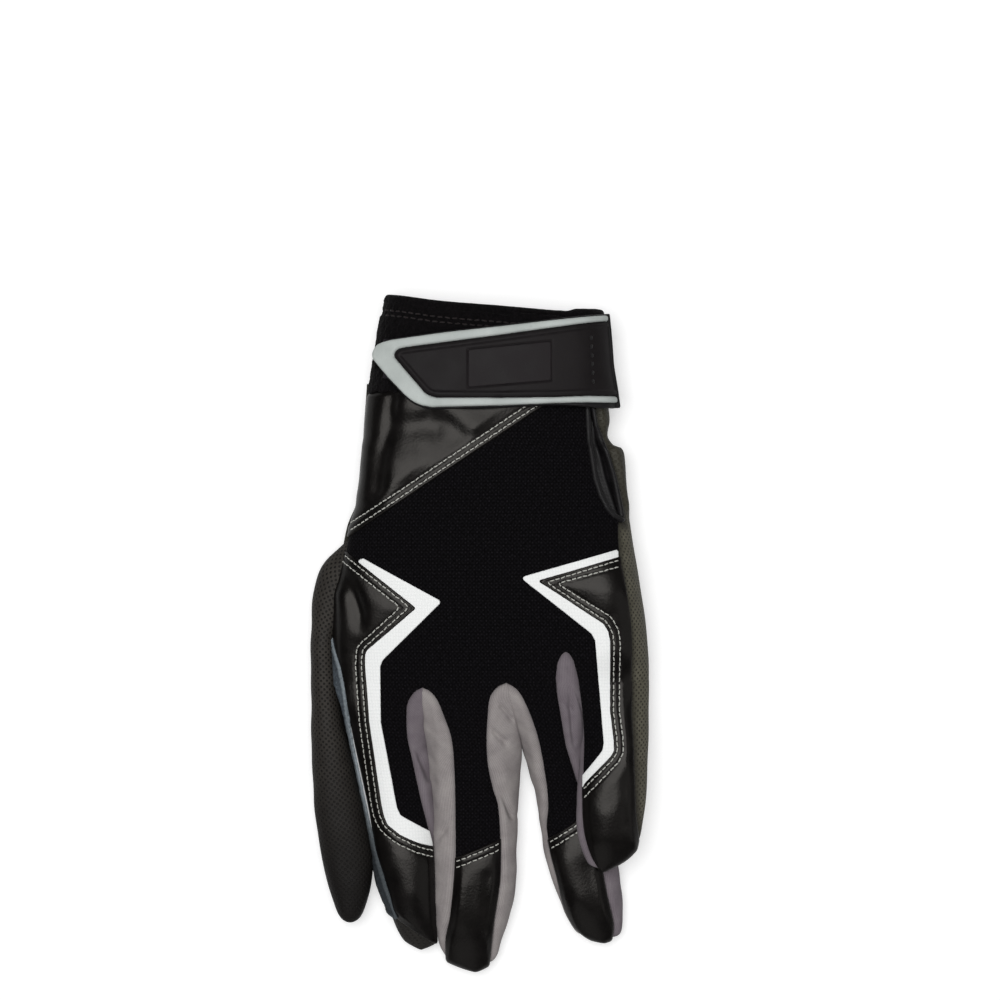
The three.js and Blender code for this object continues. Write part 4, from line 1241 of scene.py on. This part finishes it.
def face_keep(s):
    rim, plate = from_outlines(s, STRAP_INNER, BADGE)
    return both(rim, 0.1 - plate, strap_end(s, 9.5))


def badge_keep(s):
    return inside(STRAP_SKIN.above(s.p, s.q), BADGE)


def base_lift(s, d):
    return BASE_TOP * strap_level(s.u) - rolled(d, 0.5, 0.4) + flare(s) + 0.95 * ease((9.75 - s.z) / 0.5)


def border_lift(s, d):
    outer, inner = from_outlines(s, STRAP, STRAP_INNER)
    edges = rolled(outer, 0.8, 0.75) + rolled(-inner, 0.55, 0.6)
    return (BORDER_TOP - edges) * strap_level(s.u) + flare(s)


def face_lift(s, d):
    rim, plate = from_outlines(s, STRAP_INNER, BADGE)
    trench = 0.55 * (1 - ease((rim - 0.2) / 0.35))
    ridge = groove(rim, 1.2, 0.22, 0.4)
    panel = -0.22 * ease((rim - 1.4) / 0.5)
    return FACE_TOP * strap_level(s.u) - trench + ridge + panel - groove(plate, 0.0, 0.25, 0.25) + flare(s)


def badge_lift(s, d):
    return BADGE_TOP * strap_level(s.u) - rolled(d, 0.35, 0.3)


def strap_layer(name, look, place, node, *shape):
    return lay(name, look, place, node, STRAP_SKIN, strap_rows, strap_cols, *shape, True)


strap_layer("strap_base_layer", TAPE, STRAP_BEND, "strap_base", base_keep, base_lift, (0.2, 0.5), 0.8)
strap_layer("strap_border_moulding", BORDER, STRAP_BEND, "strap_border", border_keep, border_lift,
            (0.15, 0.4, 0.8), 0.85)
strap_face = strap_layer("strap_face_moulding", RUBBER, STRAP_BEND, "strap_face", face_keep, face_lift,
                         (0.2, 0.4, 0.6, 0.9, 1.25, 1.6, 2.0), 0.65)
strap_layer("strap_badge_plate", BADGE_RUBBER, "strap", "strap_badge", badge_keep, badge_lift,
            (0.15, 0.4), 0.7)


# Hook and loop patches and the strap's sewn end
def patch(name, look, place, node, outline, lift, depth):
    def keep(s):
        return both(inside(s.xy, outline), s.z - 8.6)

    lay(name, look, place, node, HAND, strap_rows, strap_cols, keep, lift, (0.3,), depth, True)


def hook_lift(s, d):
    return np.full(len(d), 1.85)


def loop_lift(s, d):
    return 0.95 + 0.14 * ripple(s.xy, 1.4, 3)


def anchor_keep(s):
    return both(inside(s.xy, ANCHOR), 8.55 - s.z, (2.3 - s.u) * CUFF_GIRTH, (s.u - 0.6) * CUFF_GIRTH)


def anchor_lift(s, d):
    return 1.9 - rolled(d, 0.5, 0.4)


patch("hook_patch_tape", HOOK, "strap", "hook_patch", HOOKS, hook_lift, 0.5)
patch("loop_patch_tape", LOOP, "hand", "loop_patch", LOOPS, loop_lift, 0.6)
lay("strap_anchor_tab", TAPE, "hand", "strap_anchor", HAND, strap_rows, np.linspace(0.5, 2.4, 150),
    anchor_keep, anchor_lift, (0.3,), 1.0, True)


# Fingers: room left at the tip, millimetres to one unit of u, place of the palm seam in u, and overlaps
TIP_GAP = 0.0002
FINGER_GIRTH = 17
PALM_SEAM = 1.3
PALM_OVERLAP = 0.05
GUSSET_TUCK = 1.3
FAR_BELOW = -1000
# Columns round a finger
UP = np.linspace(-1.08, 1.08, 96)
ALL_ROUND = np.linspace(-1, 3, 176)
RIGHT = np.linspace(0.05, 1.45, 80)
LEFT = np.linspace(-1.45, -0.05, 80)


def finger_rows(finger):
    """Even rows along a finger, drawn together where its tip turns in."""
    straight = np.arange(KNUCKLE_Y, finger.tip + finger.cap * 0.7, -0.6)
    left = straight[-1] - finger.tip
    turn = np.linspace(0, math.pi / 2, 22)[1:]
    return np.r_[straight, finger.tip + TIP_GAP + left * (1 - np.sin(turn))][::-1]


def finger_side(s, place, sign):
    """Distance round a finger from a place on its section."""
    return sign * (s.u - place) * FINGER_GIRTH


def finger_back(name, finger, limit, area, folds, seed):
    """Knit and leather on the back of a finger, with the leather laid over the knit."""
    rows = finger_rows(finger)

    def knit_keep(s):
        return both(limit(s), UNDERLAP - inside(s.xy, area))

    def knit_lift(s, d):
        return knit_uneven(s) - rolled(limit(s), *KNIT_HEM) * ease((KNUCKLE_Y - s.y) / 4)

    def hide_keep(s):
        return both(limit(s) + 0.15, inside(s.xy, area))

    def hide_lift(s, d):
        soft = ease((KNUCKLE_Y - s.y) / 8)
        side = rolled(limit(s) + 0.15, 0.8, 0.5) * soft
        thin = mix(0.3, 1.0, ease((s.y - finger.tip - 1) / 9))
        tail = mix(1.0, mix(0.25, 1.0, ease((limit(s) - 0.1) / 2.2)), soft)
        return leather_lift(s, area, folds, seed=seed) * np.minimum(thin, tail) - side

    lay(f"{name}_back_knit", KNIT_BACK, FINGER_BEND[name], f"{name}_fabric", finger, rows, UP,
        knit_keep, knit_lift, (0.25, 0.6))
    return lay(f"{name}_back_leather", LEATHER, FINGER_BEND[name], f"{name}_leather", finger, rows, UP,
               hide_keep, hide_lift, SEAM_SLICES)


def gusset_depth(d):
    """A gusset starts low, under the edge of the back, and swells to the skin beside the seam."""
    return 0.1 - 0.95 * (1 - ease((d - 0.7) / 2.4))


def gusset(name, finger, side, line, folds, seed, look=STRETCH, stop=FAR_BELOW):
    """Stretch knit from under the edge of a finger's back to its palm seam."""
    towards = "little" if side > 0 else "index"

    def keep(s):
        return both(beyond(s, line, side) + GUSSET_TUCK, finger_side(s, side * PALM_SEAM, -side), s.y - stop)

    def lift(s, d):
        soft = ease((d - 1.3) / 2.5) * ease((KNUCKLE_Y - s.y) / 6)
        return gusset_depth(d) + soft * (0.13 * ripple(s.lean, 9, seed) + creases(s.xy, folds))

    lay(f"{name}_gusset_{towards}_fold", look, FINGER_BEND[name], f"{name}_gusset_{towards}_side", finger,
        finger_rows(finger), RIGHT if side > 0 else LEFT, keep, lift, (0.5, 1.2), 0.6, origin=side)


def finger_palm(name, finger, keep, seed, look=PERFORATED):
    def lift(s, d):
        return -0.1 - rolled(d, 0.8, 0.4) + 0.08 * ripple(s.xy, 14, seed) * (s.z > 1)

    lay(f"{name}_palm_leather", look, FINGER_BEND[name], f"{name}_palm", finger, finger_rows(finger),
        ALL_ROUND, keep, lift, (0.3, 0.8), 0.7, origin=1.0)


# Palm leather of a finger, from the seam on one side, on the other, or on both
def palm_right(s):
    return finger_side(s, PALM_SEAM - PALM_OVERLAP, 1)


def palm_left(s):
    return finger_side(s, 4 - PALM_SEAM + PALM_OVERLAP, -1)


def two_sided_palm(s):
    return both(palm_right(s), palm_left(s))


# Index finger
INDEX_TIP = [(-60, -46.3), (-23.4, -71.7), (-11.3, -80.2), (10, -95), (10, -120), (-60, -120)]


def index_tip(s):
    return -inside(s.xy, INDEX_TIP)


def index_limit(s):
    return both(beyond(s, leaf_1_index, -1), finger_side(s, -0.9, 1), index_tip(s) + 0.6)


def index_palm_keep(s):
    return either(palm_right(s), -index_tip(s))


index_hide = finger_back("index", INDEX, index_limit, INDEX_AREA, INDEX_FOLDS, 3)
gusset("index", INDEX, 1, leaf_1_index, [([(-18.2, -27.4), (-15.4, -31.4), (-12.8, -37)], -1.0, 1.0)],
       21, SHADED_STRETCH, INDEX.tip)
finger_palm("index", INDEX, index_palm_keep, 31, INDEX_PALM)


# Middle finger
def middle_limit(s):
    return both(beyond(s, leaf_1_middle, 1), beyond(s, leaf_2_middle, -1))


middle_hide = finger_back("middle", MIDDLE, middle_limit, MIDDLE_AREA,
                          [([(-4.5, -64), (-5, -74)], 0.3, 2.2), ([(2, -62), (1.4, -76)], -0.2, 1.6)], 12)
gusset("middle", MIDDLE, -1, leaf_1_middle, [([(-11, -18), (-10.4, -30), (-10.2, -44)], 0.35, 1.3),
                                             ([(-6.6, -47.4), (-8.6, -49.6), (-11, -53)], -0.6, 0.7)], 22)
gusset("middle", MIDDLE, 1, leaf_2_middle, [([(2.2, -23.4), (4.6, -25.7), (6.6, -27.4)], -1.1, 0.75),
                                            ([(5.6, -18.2), (8.4, -21.6)], -0.8, 0.6),
                                            ([(2.7, -38), (6, -41.8), (8.6, -47)], -1.15, 0.8),
                                            ([(5, -29.5), (6.6, -38)], 0.4, 1.7)], 23)
finger_palm("middle", MIDDLE, two_sided_palm, 32)


# Ring finger
def ring_limit(s):
    return both(beyond(s, leaf_2_ring, 1), beyond(s, leaf_3_ring, -1))


ring_hide = finger_back("ring", RING, ring_limit, RING_AREA,
                        [([(22, -58), (25, -68)], 0.35, 2.4), ([(28, -60), (30, -70)], -0.2, 1.8)], 13)
gusset("ring", RING, -1, leaf_2_ring, [([(11.2, -16), (13, -26), (15.4, -38)], 0.3, 1.2)], 24)
gusset("ring", RING, 1, leaf_3_ring, [([(20.8, -17), (23.6, -18.8)], -0.6, 0.6),
                                      ([(23, -13), (24.2, -28)], -0.6, 0.7)], 25, SHADED_STRETCH)
finger_palm("ring", RING, two_sided_palm, 33)


# Little finger
def pinky_limit(s):
    return both(beyond(s, leaf_3_pinky, 1), ulnar_seam(s.y) - s.x, finger_side(s, 1.03, -1))


def pinky_palm_keep(s):
    return both(np.where(s.u < 1, s.x - ulnar_seam(s.y) + 0.8, 30), palm_left(s))


pinky_hide = finger_back("pinky", PINKY, pinky_limit, PINKY_AREA, PINKY_FOLDS, 5)
gusset("pinky", PINKY, -1, leaf_3_pinky, [], 26, SHADED_STRETCH)
finger_palm("pinky", PINKY, pinky_palm_keep, 34)


# Printed borders on the index and little fingers
def index_stripe_limit(s):
    return both(index_print_limit(s), beyond(s, leaf_1_index, -1) - 0.1)


def pinky_stripe_limit(s):
    return beyond(s, leaf_3_pinky, 1) - 0.1


print_border("index_print_border", FINGER_BEND["index"], "index_stripe", INDEX, finger_rows(INDEX), UP,
             INDEX_PRINT, INDEX_AREA, index_stripe_limit)
print_border("pinky_print_border", FINGER_BEND["pinky"], "pinky_stripe", PINKY, finger_rows(PINKY), UP,
             PINKY_PRINT, PINKY_AREA, pinky_stripe_limit)


# Head of the gusset between ring and little finger, which reaches up onto the hand
LEAF_HEAD_FOLD = [([(21.6, -6.2), (22.6, -7.6), (23.4, -9.6)], -0.4, 0.6)]


def leaf_head_keep(s):
    return inside(s.xy, LEAF_3) + GUSSET_TUCK


def leaf_head_lift(s, d):
    return gusset_depth(d) + creases(s.xy, LEAF_HEAD_FOLD)


lay("ring_pinky_gusset_head", SHADED_STRETCH, "hand", None, HAND, np.linspace(-12, -2, 26),
    np.linspace(0.1, 0.7, 80), leaf_head_keep, leaf_head_lift, (0.5, 1.2), 0.5)

# Raw seam edge along the outer side of the index finger
raw_inner_x = track((2, -37.4), (-3, -36.5), (-8.8, -34.9), (-20.4, -33.0), (-30.5, -31.3), (-37.4, -29.9),
                    (-45.4, -28.2), (-55.2, -26.0), (-65.5, -23.2), (-73, -21.2))
raw_stand = track((2, 1.6), (-9, 2), (-20, 2.05), (-30, 2.1), (-45, 2.2), (-55, 2.15), (-65, 2), (-73, 1.7))


def raw_keep(s):
    inner = np.where(s.u > -1, raw_inner_x(s.y) - s.x, 5.0)
    return both(inner, (s.u + 1.07) * FINGER_GIRTH, -s.y * 0.35, index_tip(s) + 0.3)


def raw_lift(s, d):
    along = np.column_stack([s.y, np.zeros(len(d))])
    fray = 0.5 * ripple(along, 2.6, 4) + 0.3 * ripple(s.p[:, 1:], 1.1, 5)
    out = np.where(s.u > -1, ease((raw_inner_x(s.y) - s.x) / 1.4), 1.0)
    stand = mix(1.65, raw_stand(s.y), out)
    thin = mix(0.6, 1.0, ease(index_tip(s) / 6))
    return (stand + 0.12 * fray) * thin - groove(d, 1.0, 0.25, 0.4)


def raw_edge(name, place, skin, rows, cols):
    lay(name, RAW, place, None, skin, rows, cols, raw_keep, raw_lift, (0.25, 0.6), 0.7)


raw_edge("index_seam_edge_hand", "hand", HAND, np.arange(-13.2, 1, 0.4), np.linspace(-1.08, -0.7, 90))
raw_edge("index_seam_edge", FINGER_BEND["index"], INDEX, finger_rows(INDEX), np.linspace(-1.14, -0.5, 90))

# Thumb
THUMB_GIRTH = 14
thumb_rows = np.r_[np.linspace(0.0, 0.9, 150), 0.9 + 0.1 * np.sin(np.linspace(0, math.pi / 2, 18))[1:]][::-1]


def thumb_half(node, middle, reach):
    def keep(s):
        return (reach - np.abs(s.u - middle)) * THUMB_GIRTH

    def lift(s, d):
        seam = rolled(np.clip(d, 0, None), 0.7, 0.35) * (1 - ease((s.run - 0.88) / 0.06))
        return 0.05 - seam + 0.12 * ripple(s.xy, 13, 42) * (s.z > 1)

    lay(f"{node}_leather", THUMB_LEATHER, THUMB_BEND, node, THUMB, thumb_rows,
        np.linspace(middle - 1.04, middle + 1.04, 90), keep, lift, (0.3, 0.8), 0.8, origin=middle)


thumb_half("thumb_back", 0.0, 1.0)
thumb_half("thumb_front", 2.0, 1.035)

# Stitching
SEAM_STITCHES = [
    ("wrist_stitches_low", "hand", wrist, [(15.3, 59.3), (-32.9, 26.9)]),
    ("wrist_stitches_high", "hand", wrist, [(13.2, 59.7), (-32.9, 28.7)]),
    ("index_side_stitches_outer", "hand", index_side,
     [(-34.3, 20.4), (-17.9, 7.5), (-29.9, -3.4), (-30.2, -7.5), (-29.9, -12)]),
    ("index_side_stitches_inner", "hand", index_side,
     [(-34.9, 18.9), (-20.2, 7.4), (-31.3, -2.8), (-31.7, -7.5), (-31.4, -12)]),
    ("pinky_side_stitches_outer", "hand", pinky_side,
     [(35.3, 19.2), (17, 13.8), (32.3, 3.9), (33.7, 1.4), (34.2, -1.3), (34.2, -12)]),
    ("pinky_side_stitches_inner", "hand", pinky_side,
     [(35.3, 17.6), (19.7, 13.5), (33.4, 5.1), (35.2, 1.8), (35.7, -1.2), (35.7, -12)]),
    ("index_stitches_outer", FINGER_BEND["index"], index_hide,
     [(-29.9, -12.4), (-29.2, -22.2), (-26.2, -43.6), (-25.4, -47), (-24.2, -49.5), (-20.9, -52.1),
      (-16, -54.6), (-12.2, -55.9)]),
    ("index_stitches_inner", FINGER_BEND["index"], index_hide,
     [(-31.4, -12.4), (-30.7, -22.2), (-27.7, -43.6), (-26.8, -47.6), (-25.1, -50.6), (-21.5, -53.5),
      (-16.5, -56), (-12.2, -57.5)]),
    ("pinky_stitches_outer", FINGER_BEND["pinky"], pinky_hide,
     [(34.2, -12.4), (34.2, -19.1), (35.2, -26.6), (35.3, -29.6), (34.4, -31.4), (26.8, -39.6)]),
    ("pinky_stitches_inner", FINGER_BEND["pinky"], pinky_hide,
     [(35.7, -12.4), (35.7, -19.1), (36.7, -26.6), (36.7, -30.2), (35.6, -32.3), (26.9, -41.8)]),
    ("middle_stitches_outer", FINGER_BEND["middle"], middle_hide, [(-6.2, -58.4), (5.0, -53.7)]),
    ("middle_stitches_inner", FINGER_BEND["middle"], middle_hide, [(-6.2, -60), (5.0, -55.3)]),
    ("ring_stitches_outer", FINGER_BEND["ring"], ring_hide, [(18.2, -53.8), (26.5, -48.1)]),
    ("ring_stitches_inner", FINGER_BEND["ring"], ring_hide, [(18.5, -55.4), (27, -49.7)]),
]
for name, place, sheet, line in SEAM_STITCHES:
    stitch_row(name, THREAD, place, sheet, line)
stitch_row("strap_end_stitches", DARK_THREAD, STRAP_BEND, strap_face, [(28.4, 77.4), (29, 64)],
           0.75, 1.15, 1.95)
for name, drop, end, count in (("high", 4.3, 22, 30), ("low", 5.6, 12, 26)):
    line = [(x, float(cuff_top(x)) - drop) for x in np.linspace(-24.5, end, count)]
    stitch_row(f"cuff_hem_stitches_{name}", HEM_THREAD, "hand", cuff_back, line, 0.4, 1.5, 1.9)


# Floor, light and camera
FLOOR_HALF = 3
FLOOR_DROP = 0.0002
VIEW_CENTRE = (5.2, 34.8)
VIEW_LEVEL = 10
VIEW_WIDTH = 258
LENS, SENSOR = 100, 36


def floor_finish():
    """Pale paper that the camera sees as white away from the shadow, without lighting the glove."""
    f = Finish("pale_floor")
    tone = f.noise(f.space(), 0.01, 2)
    eye = f.node("ShaderNodeLightPath").outputs["Is Camera Ray"]
    f.set(Base_Color=f.ramp(tone, (0.3, "#dcdcdc"), (0.7, "#e0e0e0")), Roughness=0.95, Specular_IOR_Level=0.0,
          Emission_Color=(1, 1, 1, 1), Emission_Strength=f.times(eye, 0.42))
    return f.material


def floor():
    mesh = bpy.data.meshes.new("floor")
    corners = [(x * FLOOR_HALF, y * FLOOR_HALF, 0) for x, y in ((-1, -1), (1, -1), (1, 1), (-1, 1))]
    mesh.from_pydata(corners, [], [(0, 1, 2, 3)])
    mesh.materials.append(floor_finish())
    thing = bpy.data.objects.new("floor", mesh)
    thing.location.z = -FLOOR_DROP
    bpy.context.scene.collection.objects.link(thing)


def lamp(name, place, size, power):
    """A round lamp that looks at the frame's origin."""
    data = bpy.data.lights.new(name, "AREA")
    data.shape, data.size, data.energy = "DISK", size, power
    thing = bpy.data.objects.new(name, data)
    thing.location = place
    thing.rotation_mode = "QUATERNION"
    thing.rotation_quaternion = (-Vector(place)).to_track_quat("-Z", "Y")
    bpy.context.scene.collection.objects.link(thing)


def studio_world():
    world = bpy.data.worlds.new("studio")
    world.use_nodes = True
    sky = world.node_tree.nodes["Background"].inputs
    sky["Color"].default_value = (1, 1, 1, 1)
    sky["Strength"].default_value = 0.1
    bpy.context.scene.world = world


def camera():
    data = bpy.data.cameras.new("camera")
    data.lens, data.sensor_width = LENS, SENSOR
    data.clip_start, data.clip_end = 0.01, 10
    thing = bpy.data.objects.new("camera", data)
    thing.location = at(*VIEW_CENTRE, VIEW_LEVEL + VIEW_WIDTH * LENS / SENSOR)
    bpy.context.scene.collection.objects.link(thing)
    bpy.context.scene.camera = thing


floor()
lamp("key", (-0.15, 0.16, 1.16), 1.08, 12.6)
lamp("fill", (0.9, -0.3, 0.8), 1.0, 1.5)
lamp("front", (-0.2, -1.0, 0.6), 0.8, 0.9)
studio_world()
camera()
bpy.context.scene.view_settings.view_transform = "Standard"
